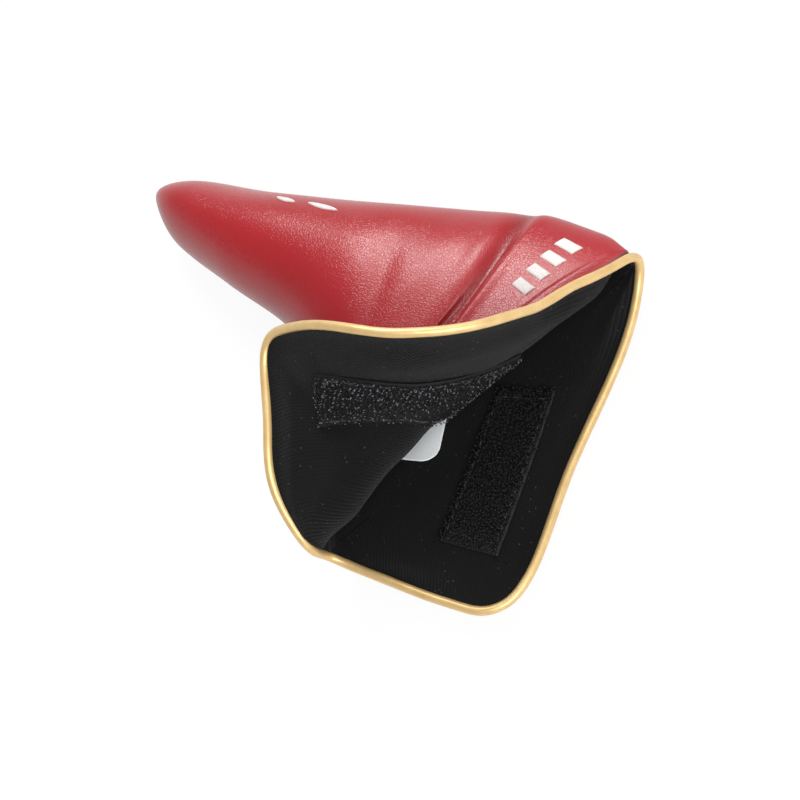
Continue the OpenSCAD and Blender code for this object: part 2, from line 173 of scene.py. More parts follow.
def ripple(points: Array, size: float, seed: int, waves: int = 28) -> Array:
    """Smooth noise: a sum of plane cosine waves of random direction and phase, wavelengths about size.

    Args:
        points: (..., 3) places in millimetres.
        size: typical wavelength in millimetres.
        seed: seed of the random waves.
        waves: how many waves are summed.

    Returns:
        Noise with a standard deviation of about 1.
    """
    rng = np.random.default_rng(seed)
    aim = unit(rng.normal(size=(waves, 3))) * (2 * math.pi / (size * rng.uniform(0.7, 1.6, (waves, 1))))
    phase = rng.uniform(0, 2 * math.pi, waves)
    total = np.zeros(points.shape[:-1])
    for k in range(waves):
        total += np.cos(points @ aim[k] + phase[k])
    return total * math.sqrt(2.0 / waves)


def arc(points: Array, axis: int) -> Array:
    """Distance run along one axis of a grid of points: the running sum of its chord lengths.

    Args:
        points: (..., 3) grid of points.
        axis: axis that the distance runs along.

    Returns:
        Distances, 0 at the start of each line.
    """
    step = np.linalg.norm(np.diff(points, axis=axis), axis=-1)
    pad = [(0, 0)] * step.ndim
    pad[axis] = (1, 0)
    return np.cumsum(np.pad(step, pad), axis=axis)


# ---------------------------------------------------------------- meshes


@dataclass
class Surface:
    """A grid of points with its pattern coordinates, all in millimetres, and its painted shares."""

    points: Array
    pattern: Array
    paint: dict[str, Array] = field(default_factory=dict)


def new_mesh(
    name: str, verts: Array, faces: Array, uv: Array, paint: dict[str, Array] | None = None
) -> Piece:
    """Makes a smooth-shaded object at the origin from vertices in millimetres.

    Args:
        name: object name.
        verts: (n, 3) vertices.
        faces: (m, 3 or 4) vertex indices, outward by the right-hand rule.
        uv: (n, 2) pattern coordinates in millimetres.
        paint: float attributes, one value a vertex.

    Returns:
        The new object, linked to the scene.
    """
    mesh = bpy.data.meshes.new(name)
    mesh.vertices.add(len(verts))
    mesh.vertices.foreach_set("co", (verts * MM).astype(np.float32).ravel())
    mesh.loops.add(faces.size)
    mesh.loops.foreach_set("vertex_index", faces.astype(np.int32).ravel())
    mesh.polygons.add(len(faces))
    mesh.polygons.foreach_set("loop_start", (np.arange(len(faces)) * faces.shape[1]).astype(np.int32))
    mesh.polygons.foreach_set("use_smooth", np.ones(len(faces), bool))
    mesh.update(calc_edges=True)
    layer = mesh.uv_layers.new(name="millimetres")
    layer.data.foreach_set("uv", uv[faces.ravel()].astype(np.float32).ravel())
    for key, values in (paint or {}).items():
        attribute = mesh.attributes.new(key, "FLOAT", "POINT")
        attribute.data.foreach_set("value", values.astype(np.float32).ravel())
    piece = bpy.data.objects.new(name, mesh)
    bpy.context.collection.objects.link(piece)
    return piece


def grid_faces(rows: int, cols: int, flip: bool = False, wrap: bool = False) -> Array:
    """Quads of a grid of rows by cols vertices, in rows.

    Args:
        rows: rows of vertices.
        cols: columns of vertices.
        flip: turn the faces over.
        wrap: join the last column to the first.

    Returns:
        (m, 4) vertex indices.
    """
    i = np.arange(rows - 1)[:, None] * cols
    j = np.arange(cols if wrap else cols - 1)[None, :]
    k = (j + 1) % cols
    quads = np.stack([i + j, i + k, i + cols + k, i + cols + j], -1).reshape(-1, 4)
    return quads[:, ::-1] if flip else quads


def slab_faces(rows: int, cols: int) -> Array:
    """Quads of a closed slab: an outer grid, an inner grid numbered after it, and the wall round both.

    Args:
        rows: rows of vertices in each grid.
        cols: columns of vertices in each grid.

    Returns:
        (m, 4) vertex indices.
    """
    n = rows * cols
    top = grid_faces(rows, cols)
    last = (rows - 1) * cols
    there = [np.arange(cols), np.arange(1, rows) * cols + cols - 1]
    loop = np.concatenate([*there, last + np.arange(cols - 2, -1, -1), np.arange(rows - 2, 0, -1) * cols])
    after = np.roll(loop, -1)
    return np.concatenate([top, top[:, ::-1] + n, np.stack([loop, loop + n, after + n, after], -1)])


def sheet_mesh(name: str, surface: Surface, flip: bool = False) -> Piece:
    """Makes one open surface into an object.

    Args:
        name: object name.
        surface: the surface, with its pattern and painted shares.
        flip: turn all faces over.

    Returns:
        The new object.
    """
    faces = grid_faces(*surface.points.shape[:2], flip)
    paint = {key: values.ravel() for key, values in surface.paint.items()}
    return new_mesh(name, surface.points.reshape(-1, 3), faces, surface.pattern.reshape(-1, 2), paint)


def slab_mesh(name: str, outer: Surface, inner: Array, flip: bool = False) -> Piece:
    """Makes a closed slab between an outer surface and an inner grid of the same size, walls included.

    Args:
        name: object name.
        outer: the face that shows.
        inner: (rows, cols, 3) points of the far face.
        flip: turn all faces over.

    Returns:
        The new object.
    """
    faces = slab_faces(*inner.shape[:2])
    verts = np.concatenate([outer.points.reshape(-1, 3), inner.reshape(-1, 3)])
    uv = np.tile(outer.pattern.reshape(-1, 2), (2, 1))
    return new_mesh(name, verts, faces[:, ::-1] if flip else faces, uv)


def tube_mesh(name: str, path: Array, start: Array, radius: Array, sides: int, caps: bool = True) -> Piece:
    """Carries a circle along a path: path + r (x cos a + y sin a), with x the start direction made square.

    Args:
        name: object name.
        path: (n, 3) centre line.
        start: (n, 3) direction that each ring starts from.
        radius: (n,) or (n, sides) radius of each ring.
        sides: points in a ring.
        caps: close both ends with a fan.

    Returns:
        The new object. Its pattern runs along the tube and round it.
    """
    ahead = unit(np.gradient(path, axis=0))
    x = unit(start - np.sum(start * ahead, -1, keepdims=True) * ahead)
    y = np.cross(ahead, x)
    angle = np.arange(sides) * 2 * math.pi / sides
    r = np.broadcast_to(np.reshape(radius, (len(path), -1)), (len(path), sides))[..., None]
    cosine, sine = np.cos(angle)[None, :, None], np.sin(angle)[None, :, None]
    verts = (path[:, None] + r * (x[:, None] * cosine + y[:, None] * sine)).reshape(-1, 3)
    run = arc(path, 0)
    round_it = angle * float(np.mean(radius))
    uv = np.stack(np.broadcast_arrays(run[:, None], round_it[None]), -1).reshape(-1, 2)
    faces = grid_faces(len(path), sides, wrap=True)
    if caps:
        last, near = (len(path) - 1) * sides, len(verts)
        j = np.arange(sides)
        k = (j + 1) % sides
        first_fan = np.stack([k, j, np.full(sides, near)], -1)
        last_fan = np.stack([last + j, last + k, np.full(sides, near + 1)], -1)
        faces = np.concatenate([faces[:, [0, 1, 2]], faces[:, [0, 2, 3]], first_fan, last_fan])
        verts = np.concatenate([verts, path[:1], path[-1:]])
        uv = np.concatenate([uv, [[0.0, 0.0]], [[run[-1], 0.0]]])
    return new_mesh(name, verts, faces, uv)


# ---------------------------------------------------------------- sizes and the panel surface


@dataclass(frozen=True)
class CoverSizes:
    """Sizes of the cover in millimetres, as in the CAD source."""

    sole_length: float = 178.4
    sole_bow: float = 6.5
    neck_height: float = 109.4
    neck_lean: float = 68.0
    throat_back: float = 82.4
    throat_height: float = 68.0
    pocket_height: float = 45.0
    toe_height: float = 31.5
    nose_height: float = 5.0
    front_reach: float = 51.5
    back_reach: float = 48.5
    pocket_half: float = 19.0
    mouth_half: float = 15.0
    rest_height: float = 17.0
    crease_depth: float = 3.0
    leather: float = 1.2
    foam: float = 4.0
    lining: float = 0.8
    front_bend: float = 12.0
    back_bend: float = 4.0
    bend_bow: float = 5.0
    back_tilt: float = 3.0
    piping: float = 2.8
    tape_width: float = 20.0
    tape_length: float = 54.0
    heel: tuple[float, float] = (98.4, 23.0)

    @property
    def wall(self) -> float:
        """Thickness of leather, foam and lining together."""
        return self.leather + self.foam + self.lining


class Panel:
    """One padded panel: its outer face as a function of row and column, its normals and its layers."""

    # Free edges from the neck corner to the heel: share u of the neck line, share of the flap's reach.
    FRONT_EDGE = ((1, 0), (0.954, 0.45), (0.868, 0.685), (0.758, 0.95))
    FRONT_EDGE += ((0.64, 0.84), (0.36, 0.665), (0.233, 0.285), (0, 0))
    BACK_EDGE = ((1, 0), (0.935, 0.31), (0.845, 0.76), (0.777, 0.995))
    BACK_EDGE += ((0.67, 0.97), (0.44, 0.605), (0.162, 0.266), (0, 0))
    # Fold angle of the front flap in degrees, at even steps of the neck line from the heel.
    FRONT_FOLD = (112.0, 70.0, 90.0, 155.0, 138.0)
    # Share t past which both panels fall to the nose, and the shares over which they rise from the mouth.
    FULL_UNTIL = 0.45
    RISE = {Side.FRONT: 0.45, Side.BACK: 0.26}
    CREASE_WIDTH = 0.03

    def __init__(self, sizes: CoverSizes, side: Side) -> None:
        """Works out the seams of the panel.

        Args:
            sizes: sizes of the cover.
            side: front or back.
        """
        self.sizes, self.side, self.sign = sizes, side, float(side.value)
        self.front = side is Side.FRONT
        z = sizes
        self.corner = np.array([z.heel[0], z.heel[1], 0.0])
        self.neck = np.array([-z.neck_lean, -z.neck_height, 0.0])
        self.neck_length = float(np.linalg.norm(self.neck))
        self.along = self.neck / self.neck_length
        self.inward = np.array([self.along[1], -self.along[0], 0.0])
        toe = -z.sole_length
        by_heel = [(0, 0), (-26.4, z.sole_bow), (-58.4, z.sole_bow - 1)]
        by_toe = [(toe + 85, 3), (toe + 50, 1.5), (toe + 20, 1.5), (toe, -4)]
        self.sole = np.array(by_heel + by_toe)
        throat = (-z.throat_back, -z.throat_height)
        halfway = (-(z.neck_lean + z.throat_back) / 2, -(z.neck_height + z.throat_height) / 2)
        past = [(toe + 74, -z.pocket_height), (toe + 40, -z.toe_height), (toe + 14, -z.toe_height * 0.67)]
        self.top = np.array([self.neck[:2], halfway, throat, *past, (toe, -4 - z.nose_height)])
        self.reach = z.front_reach if self.front else z.back_reach
        self.bend = z.front_bend if self.front else z.back_bend
        # Corner and middle of the front flap, far off until know_flap sets them.
        self.flap_corner: tuple[Array, Array] = (np.zeros(3) - 1000.0, np.zeros(3))

    def know_flap(self, front: Panel) -> None:
        """Takes the outer corner and the middle of the front flap, each (s, u), to shift that corner by."""
        corner, middle = (front.reach, 0.8), (18.0, 0.55)
        spots = front.flap_point(*np.array([corner, middle]).T)
        self.flap_corner = (spots[0], spots[1])

    def free_edge(self, w: Array) -> tuple[Array, Array]:
        """Free edge at columns w: share u of the neck line from the heel, and the flap's width there."""
        edge = curve(np.array(self.FRONT_EDGE if self.front else self.BACK_EDGE, float), w)
        return edge[..., 0], np.maximum(edge[..., 1], 0.0) * self.reach

    def bow(self, u: Array) -> Array:
        """How far the front's fold bows into the pocket: 4u(1-u) of the bow at mid neck."""
        return self.sizes.bend_bow * lens(u) if self.front else np.zeros_like(u)

    def half_thickness(self, t: Array, u: Array) -> Array:
        """Half thickness: a rise from mouth to pocket, a fall to the nose, times the lens (4u(1-u))^p.

        Args:
            t: share of the way to the nose.
            u: share of the way up from the sole seam, or along the neck line from the heel.

        Returns:
            Millimetres from the seam plane, before the crease.
        """
        z = self.sizes
        k = smooth(t / self.RISE[self.side])
        past = np.clip((t - self.FULL_UNTIL) / (1 - self.FULL_UNTIL), 0, 1)
        fall = np.sqrt(np.maximum(1 - past**2.3, 0))
        return (z.mouth_half + (z.pocket_half - z.mouth_half) * k) * fall * lens(u) ** (0.4 + 0.17 * k)

    def crease(self, t: Array, u: Array) -> Array:
        """Depth of the CAD's crease over the neck: a bell in t, about 0.18 at the sole, 0.08 at the top."""
        centre_off = t - 0.18 + 0.10 * u
        return self.sizes.crease_depth * bell(centre_off / self.CREASE_WIDTH) * np.sqrt(lens(u))

    def settle(self, xy: Array, c: Array) -> Array:
        """Points at c outside the seam plane, flattened where the cover rests."""
        z = np.maximum(self.sizes.rest_height + self.sign * c, 0.0)
        return np.concatenate([xy[..., :2], z[..., None]], -1)

    def pocket_point(self, t: Array, u: Array) -> Array:
        """Outer face in the pocket: share u of the way up between the seams, out by the half thickness.

        Args:
            t: share of the way to the nose.
            u: share of the way up from the sole seam, or along the neck line from the heel.

        Returns:
            (..., 3) points.
        """
        sole, top = curve(self.sole, t), curve(self.top, t)
        pull = np.maximum(1 - t / 0.35, 0) ** 2 * self.bow(u)
        xy = self.corner[:2] + top + (1 - u)[..., None] * (sole - top) + pull[..., None] * self.inward[:2]
        c = self.half_thickness(t, u) - (self.crease(t, u) if self.front else 0.0)
        return self.settle(xy, c)

    def fold_angle(self, u: Array) -> Array:
        """Fold angle of the flap in radians, by share of the neck line.

        Args:
            u: share of the way up from the sole seam, or along the neck line from the heel.

        Returns:
            Angles, above 0 where the flap folds back over the outer face.
        """
        if self.front:
            return np.radians(curve(np.array(self.FRONT_FOLD), u))
        return np.full_like(u, -math.radians(self.sizes.back_tilt))

    def flap_point(self, s: Array, u: Array) -> Array:
        """Outer face on the flap, s past the fold: round an arc as long as the bend, then straight on.

        Args:
            s: distance past the fold.
            u: share of the way up from the sole seam, or along the neck line from the heel.

        Returns:
            (..., 3) points.
        """
        phi = self.fold_angle(u)
        r = self.bend / phi
        th = phi * np.minimum(s / self.bend, 1.0)
        rest = np.maximum(s - self.bend, 0.0)
        x = r * np.sin(th) + rest * np.cos(phi)
        c = self.half_thickness(np.zeros_like(u), u) + r * (1 - np.cos(th)) + rest * np.sin(phi)
        xy = self.corner + self.neck * u[..., None] + (self.bow(u) - x)[..., None] * self.inward
        return self.settle(xy, c)

    def at(self, q: Array, w: Array) -> tuple[Array, Array, Array, Array]:
        """Points of the grid of rows q by columns w.

        Args:
            q: (r,) rows, -1 at the free edge, 0 at the fold, 1 at the nose.
            w: (c,) columns.

        Returns:
            Points (r, c, 3), share t to the nose, distance s past the fold, and share u, each (r, c).
        """
        u, width = self.free_edge(w)
        full = width + self.bow(u)
        q2, u2 = np.meshgrid(q, u, indexing="ij")
        t, s = np.maximum(q2, 0), np.maximum(-q2, 0) * full[None]
        points = np.where((q2 >= 0)[..., None], self.pocket_point(t, u2), self.flap_point(s, u2))
        return points, t, s, u2

    def normals(self, points: Array, seams: bool = True) -> Array:
        """Outward normals of a grid: its row step crossed with its column step.

        Args:
            points: (r, c, 3) grid of the outer face.
            seams: the first and last columns are the closed seams, where normals stay level.

        Returns:
            (r, c, 3) unit normals.
        """
        row, col = np.gradient(points, axis=0), np.gradient(points, axis=1)
        n = unit(self.sign * np.cross(col, row))
        if seams:
            level = row * [1, 1, 0]
            n[:, 0], n[:, -1] = unit(np.cross(UP, level[:, 0])), unit(np.cross(level[:, -1], UP))
            n[-1] = (-1, 0, 0)
        return n

    def filled(self, points: Array) -> Array:
        """Points shifted as the padding fills the cover: each shift fades by bell(distance / radius).

        The heel fills out past its corner and the nose towards the sole. The outer corner of the front flap
        is drawn in towards the middle of that flap.

        Args:
            points: (..., 3) points of the plain cover.

        Returns:
            (..., 3) shifted points.
        """
        rest = UP * self.sizes.rest_height
        heel = self.corner + self.inward * 5.0 + rest
        nose = self.corner + np.array([-self.sizes.sole_length + 6.0, -6.0, 0.0]) + rest
        tip, middle = self.flap_corner
        shifts = (
            (heel, -2.2 * self.along, 8.0),
            (nose, np.array([0.0, 1.2, 0.0]), 16.0),
            (tip, 1.9 * unit(middle - tip), 22.0),
        )
        return points + sum(fading(points, place, radius) * shift for place, shift, radius in shifts)

    def foam(self, t: Array, s: Array, u: Array, w: Array) -> Array:
        """Foam thickness: full in the middle, eased to nothing at the seams, the nose and the free edge.

        Args:
            t: share of the way to the nose.
            s: distance past the fold.
            u: share of the way up from the sole seam, or along the neck line from the heel.
            w: (c,) columns.

        Returns:
            (r, c) thickness in millimetres.
        """
        share, width = self.free_edge(w)
        full = np.maximum(width + self.bow(share), 1.0)[None]
        side = smooth(np.minimum(u, 1 - u) / 0.14)
        end = np.where(s > 0, smooth((1 - s / full) / 0.3), smooth((1 - t) / 0.25))
        return self.sizes.foam * side * end

    def flap_normal(self, s: Array, u: Array) -> Array:
        """Outward normal on the flap by central differences of 0.5 mm.

        Args:
            s: distance past the fold.
            u: share of the way up from the sole seam, or along the neck line from the heel.

        Returns:
            (..., 3) unit normals.
        """
        h = 0.5
        du = h / self.neck_length
        a = self.flap_point(s, u + du) - self.flap_point(s, u - du)
        b = self.flap_point(s + h, u) - self.flap_point(s - h, u)
        return unit(self.sign * np.cross(a, b))

    def pocket_normal(self, t: Array, u: Array) -> Array:
        """Outward normal in the pocket by central differences of 0.004 of the way.

        Args:
            t: share of the way to the nose.
            u: share of the way up from the sole seam, or along the neck line from the heel.

        Returns:
            (..., 3) unit normals.
        """
        h = 0.004
        a = self.pocket_point(t, u + h) - self.pocket_point(t, u - h)
        b = self.pocket_point(t + h, u) - self.pocket_point(np.maximum(t - h, 0), u)
        n = unit(np.cross(a, b))
        return n * np.sign(n[..., 2:] * self.sign)


# ---------------------------------------------------------------- materials


def srgb(code: str) -> tuple[float, float, float, float]:
    """Linear colour of an sRGB hex code such as "b0202c"."""
    parts = [int(code[k : k + 2], 16) / 255 for k in (0, 2, 4)]
    return (*[p / 12.92 if p <= 0.04045 else ((p + 0.055) / 1.055) ** 2.4 for p in parts], 1.0)


def connect(tree: bpy.types.NodeTree, node: bpy.types.Node, inputs: dict[str | int, object]) -> None:
    """Fills a node's inputs.

    Args:
        tree: node tree of the node.
        node: node whose inputs are filled.
        inputs: by socket name or index, a value to set, a socket to link from, or a node to link from, which
            gives its first output in use.
    """
    for key, value in inputs.items():
        if isinstance(value, bpy.types.Node):
            value = next(output for output in value.outputs if output.enabled)
        if isinstance(value, bpy.types.NodeSocket):
            tree.links.new(value, node.inputs[key])
        else:
            node.inputs[key].default_value = value


def add_node(
    tree: bpy.types.NodeTree, kind: str, inputs: dict[str | int, object] | None = None, **settings: object
) -> bpy.types.Node:
    """Adds a node with its settings and links.

    Args:
        tree: node tree that the node goes into.
        kind: kind of shader node, such as "Math".
        inputs: what its inputs hold, as connect takes it.
        **settings: attributes of the node.

    Returns:
        The new node.
    """
    node = tree.nodes.new(f"ShaderNode{kind}")
    for key, value in settings.items():
        setattr(node, key, value)
    connect(tree, node, inputs or {})
    return node


def per_mm(size: float) -> float:
    """Texture scale on Object coordinates, in waves a metre, of a pattern with cells of size millimetres."""
    return 1000.0 / size


@dataclass(frozen=True)
class Finish:
    """Base of the finishes: makes a material whose nodes the finish adds."""

    name: str = "finish"

    def make(self) -> bpy.types.Material:
        """Makes the material.

        Returns:
            The new material.
        """
        material = bpy.data.materials.new(self.name)
        material.use_nodes = True
        tree = material.node_tree
        connect(tree, tree.nodes["Principled BSDF"], self.dress(partial(add_node, tree)))
        return material

    def dress(self, add: partial) -> dict[str, object]:
        """Adds the nodes with add, and returns what the shader's inputs hold."""
        raise NotImplementedError


@dataclass(frozen=True)
class CoatedLeather(Finish):
    """Polyurethane-coated leather, rolled with a fine grain.

    The coat gives broad pale highlights that the grain breaks into small specks, and the colour deepens in
    creases where little light gets in.
    """

    name: str = "polyurethane_coated_leather"
    colour: str = "93171d"
    lighter: str = "9e1f25"
    # deep: colour of the painted shade in creases, along the seams and rim, and at the corners
    deep: str = "4c0a10"
    grain: float = 0.9
    grain_depth: float = 0.07

    def dress(self, add: partial) -> dict[str, object]:
        """Grain from two sizes of cells, clouded colour, and painted shade in creases from the piece's own
        attribute.

        Args:
            add: add_node, given the material's node tree.

        Returns:
            What the shader's inputs hold.
        """
        place = add("TexCoord").outputs["Object"]
        cloud = add("TexNoise", {"Vector": place, "Scale": per_mm(26.0), "Detail": 3.0, "Roughness": 0.55})
        colours = {"A": srgb(self.colour), "B": srgb(self.lighter)}
        tone = add("Mix", {"Factor": cloud, **colours}, data_type="RGBA")
        fold = add("Attribute", attribute_name="fold").outputs["Fac"]
        shade = add("Mix", {"Factor": fold, "A": tone, "B": srgb(self.deep)}, data_type="RGBA")
        warp = add("TexNoise", {"Vector": place, "Scale": per_mm(2.4), "Detail": 2.0}).outputs["Color"]
        bent = add("VectorMath", {0: warp, "Scale": 0.7 * MM}, operation="SCALE")
        moved = add("VectorMath", {0: place, 1: bent}, operation="ADD")
        cells = add("TexVoronoi", {"Vector": moved, "Scale": per_mm(self.grain)}, feature="DISTANCE_TO_EDGE")
        pebble = add("MapRange", {"Value": cells, "From Max": 0.22}, interpolation_type="SMOOTHSTEP")
        fine = add("TexNoise", {"Vector": place, "Scale": per_mm(0.45), "Detail": 2.0})
        both = add("Math", {0: fine, 1: 0.5, 2: pebble}, operation="MULTIPLY_ADD")
        relief = {"Height": both, "Distance": self.grain_depth * MM}
        return {
            "Base Color": shade,
            "Roughness": add("MapRange", {"Value": both, "From Max": 1.5, "To Min": 0.44, "To Max": 0.33}),
            "Normal": add("Bump", {**relief, "Strength": 0.26}),
            "Coat Normal": add("Bump", {**relief, "Strength": 0.58}),
            "IOR": 1.5,
            "Specular IOR Level": 0.3,
            "Coat Weight": 0.42,
            "Coat Roughness": 0.16,
        }


@dataclass(frozen=True)
class KnitLining(Finish):
    """Polyester warp-knit lining, brushed: rows of loops under a soft nap that catches a little light."""

    name: str = "brushed_polyester_knit"
    colour: str = "060607"
    raised: str = "141416"
    lint: str = "5c5c62"
    wale: float = 1.1
    course: float = 0.9

    def dress(self, add: partial) -> dict[str, object]:
        """Loops on the piece's own pattern, |sin| across wales and sin along courses, with nap and lint.

        Args:
            add: add_node, given the material's node tree.

        Returns:
            What the shader's inputs hold.
        """
        place = add("TexCoord").outputs["Object"]
        split = add("SeparateXYZ", {0: add("UVMap", uv_map="millimetres")})
        across = add("Math", {0: split.outputs["X"], 1: math.pi / self.wale}, operation="MULTIPLY")
        wales = add("Math", {0: add("Math", {0: across}, operation="SINE")}, operation="ABSOLUTE")
        tilt = add("Math", {0: wales, 1: 0.55, 2: split.outputs["Y"]}, operation="MULTIPLY_ADD")
        down = add("Math", {0: tilt, 1: 2 * math.pi / self.course}, operation="MULTIPLY")
        courses = add("Math", {0: down}, operation="SINE")
        loops = add("Math", {0: courses, 1: 0.35, 2: wales}, operation="MULTIPLY_ADD")
        nap = add("TexNoise", {"Vector": place, "Scale": per_mm(0.7), "Detail": 4.0, "Roughness": 0.7})
        height = add("Math", {0: nap, 1: 2.2, 2: loops}, operation="MULTIPLY_ADD")
        patch = add("TexNoise", {"Vector": place, "Scale": per_mm(14.0), "Detail": 3.0})
        lift = add("Math", {0: patch, 1: nap}, operation="MULTIPLY")
        tone = add("Mix", {"Factor": lift, "A": srgb(self.colour), "B": srgb(self.raised)}, data_type="RGBA")
        speck = add("TexVoronoi", {"Vector": place, "Scale": per_mm(2.3), "Randomness": 1.0})
        near = {"From Min": 0.05, "From Max": 0.1, "To Min": 0.6, "To Max": 0.0}
        seen = add("MapRange", {"Value": speck, **near})
        return {
            "Base Color": add("Mix", {"Factor": seen, "A": tone, "B": srgb(self.lint)}, data_type="RGBA"),
            "Normal": add("Bump", {"Height": height, "Distance": 0.16 * MM, "Strength": 0.9}),
            "Roughness": 0.9,
            "Specular IOR Level": 0.16,
            "Sheen Weight": 0.05,
            "Sheen Roughness": 0.5,
        }


@dataclass(frozen=True)
class FoilLeather(Finish):
    """Gold foil-coated leather round a cord: foil gives bright streaks that fine cross wrinkles break up."""

    name: str = "gold_foil_leather"
    colour: str = "e6c88f"
    worn: str = "c9a368"

    def dress(self, add: partial) -> dict[str, object]:
        """Cross wrinkles from noise stretched round the tube, with a fine grain.

        Args:
            add: add_node, given the material's node tree.

        Returns:
            What the shader's inputs hold.
        """
        place = add("TexCoord").outputs["Object"]
        pattern = add("UVMap", uv_map="millimetres")
        stretch = add("Mapping", {"Vector": pattern, "Scale": (1.0, 0.22, 1.0)})
        wrinkle = add("TexNoise", {"Vector": stretch, "Scale": 0.9, "Detail": 3.0, "Roughness": 0.6})
        grain = add("TexVoronoi", {"Vector": place, "Scale": per_mm(0.5)}, feature="SMOOTH_F1")
        rough = add("TexNoise", {"Vector": place, "Scale": per_mm(4.0), "Detail": 3.0})
        height = add("Math", {0: grain, 1: 0.2, 2: wrinkle}, operation="MULTIPLY_ADD")
        colours = {"A": srgb(self.colour), "B": srgb(self.worn)}
        return {
            "Base Color": add("Mix", {"Factor": rough, **colours}, data_type="RGBA"),
            "Normal": add("Bump", {"Height": height, "Distance": 0.09 * MM, "Strength": 0.5}),
            "Metallic": 0.4,
            "Roughness": 0.4,
        }


@dataclass(frozen=True)
class NylonTape(Finish):
    """Woven nylon tape, dyed black. The tight weave is matt; raised hooks or loops are a little glossy."""

    name: str = "black_nylon_tape"
    colour: str = "161618"
    raised: str = "2a2a2e"
    roughness: float = 0.6
    glint: float = 0.0
    # colour of the painted glints on the hook tips
    pale: str = "77777e"

    def dress(self, add: partial) -> dict[str, object]:
        """Plain weave of 0.6 mm threads along the tape's own pattern, with uneven dye.

        The share "glint" of cells 0.42 mm wide is painted pale, as painted glints where bent tips would
        catch the light.

        Args:
            add: add_node, given the material's node tree.

        Returns:
            What the shader's inputs hold.
        """
        place = add("TexCoord").outputs["Object"]
        pattern = add("UVMap", uv_map="millimetres")
        weave = add("TexChecker", {"Vector": pattern, "Scale": 1.0 / 0.6}).outputs["Fac"]
        dye = add("TexNoise", {"Vector": place, "Scale": per_mm(1.2), "Detail": 3.0, "Roughness": 0.7})
        tone = add("Mix", {"Factor": dye, "A": srgb(self.colour), "B": srgb(self.raised)}, data_type="RGBA")
        if self.glint:
            # painted glints: a share of the cells takes the pale colour, as highlights on the tips
            cell = add("TexVoronoi", {"Vector": place, "Scale": per_mm(0.42)}).outputs["Color"]
            painted_glint = add("Math", {0: cell, 1: 1.0 - self.glint}, operation="GREATER_THAN")
            tone = add("Mix", {"Factor": painted_glint, "A": tone, "B": srgb(self.pale)}, data_type="RGBA")
        height = add("Math", {0: dye, 1: 0.8, 2: weave}, operation="MULTIPLY_ADD")
        return {
            "Base Color": tone,
            "Normal": add("Bump", {"Height": height, "Distance": 0.08 * MM, "Strength": 0.6}),
            "Roughness": self.roughness,
            "Specular IOR Level": 0.3,
        }


@dataclass(frozen=True)
class SpunThread(Finish):
    """Twisted polyester thread: a satin sheen with slanting ply lines along it."""

    name: str = "polyester_thread"
    colour: str = "f4f4f2"
    # shade: colour of the painted shade in the grooves between plies
    shade: str = "cfcfcf"
    ply: float = 0.5

    def dress(self, add: partial) -> dict[str, object]:
        """Ply lines from bands set slantwise on the piece's own pattern, with painted shade in their
        grooves.

        Args:
            add: add_node, given the material's node tree.

        Returns:
            What the shader's inputs hold.
        """
        pattern = add("UVMap", uv_map="millimetres")
        turned = add("Mapping", {"Vector": pattern, "Rotation": (0.0, 0.0, 0.7)})
        lines = {"Vector": turned, "Scale": 0.5 / self.ply, "Distortion": 0.6}
        bands = add("TexWave", lines, wave_profile="SIN").outputs["Fac"]
        colours = {"A": srgb(self.shade), "B": srgb(self.colour)}
        return {
            "Base Color": add("Mix", {"Factor": bands, **colours}, data_type="RGBA"),
            "Normal": add("Bump", {"Height": bands, "Distance": 0.06 * MM, "Strength": 0.6}),
            "Roughness": 0.45,
            "Sheen Weight": 0.3,
        }


@dataclass(frozen=True)
class WovenSatin(Finish):
    """Woven polyester satin: fine floats give a soft lustre across the weave."""

    name: str = "woven_satin"
    colour: str = "fbfdff"
    shade: str = "e3e9ec"

    def dress(self, add: partial) -> dict[str, object]:
        """Floats 0.5 mm apart along the label's own pattern, drawn coarser than life so that they show.

        Args:
            add: add_node, given the material's node tree.

        Returns:
            What the shader's inputs hold.
        """
        pattern = add("UVMap", uv_map="millimetres")
        lines = {"Vector": pattern, "Scale": 0.6, "Distortion": 0.4, "Detail": 1.0}
        bands = add("TexWave", lines, bands_direction="Y").outputs["Fac"]
        colours = {"A": srgb(self.colour), "B": srgb(self.shade)}
        return {
            "Base Color": add("Mix", {"Factor": bands, **colours}, data_type="RGBA"),
            "Normal": add("Bump", {"Height": bands, "Distance": 0.04 * MM, "Strength": 0.5}),
            "Roughness": 0.42,
            "Sheen Weight": 0.2,
        }


@dataclass(frozen=True)
class Finishes:
    """All the finishes of the cover."""

    leather: Finish = CoatedLeather()
    knit: Finish = KnitLining()
    foil: Finish = FoilLeather()
    hook: Finish = NylonTape("black_nylon_hook_tape", "050506", "0b0b0c", 0.7)
    # hook tufts, with painted glints on 0.3 of their cells
    hooks: Finish = NylonTape("black_nylon_hooks", "050506", "0a0a0b", 0.3, 0.3)
    loop: Finish = NylonTape("black_nylon_loop_tape", "08080a", "1b1b1e", 0.5)
    black_thread: Finish = SpunThread("black_polyester_thread", "202022", "0f0f10")
    white_thread: Finish = SpunThread("white_rayon_thread", "e9e7e4", "b9b5b2")
    satin: Finish = WovenSatin()


def wear(piece: Piece, material: bpy.types.Material) -> None:
    """Gives a piece its material.

    Args:
        piece: the piece.
        material: its material.
    """
    piece.data.materials.clear()
    piece.data.materials.append(material)


# ---------------------------------------------------------------- padded walls


@dataclass(frozen=True)
class Slack:
    """How one skin gives under its padding, for the cloth simulation that swells it."""

    pressure: float
    stiffness: float
    bending: float
    growth: float
    cap: float


@dataclass(frozen=True)
class Fullness:
    """A soft swell of the front leather, or a hollow: height x bell across the neck x bell up from the sole.

    Its middle lies at share t "across", or that many crease widths past the crease. A slanting one lies
    there at u = level, and nearer the mouth above it by slant for each unit of u.
    """

    height: float
    across: float
    width: float
    up: float
    length: float
    slant: float = 0.0
    level: float = 0.3
    by_crease: bool = False


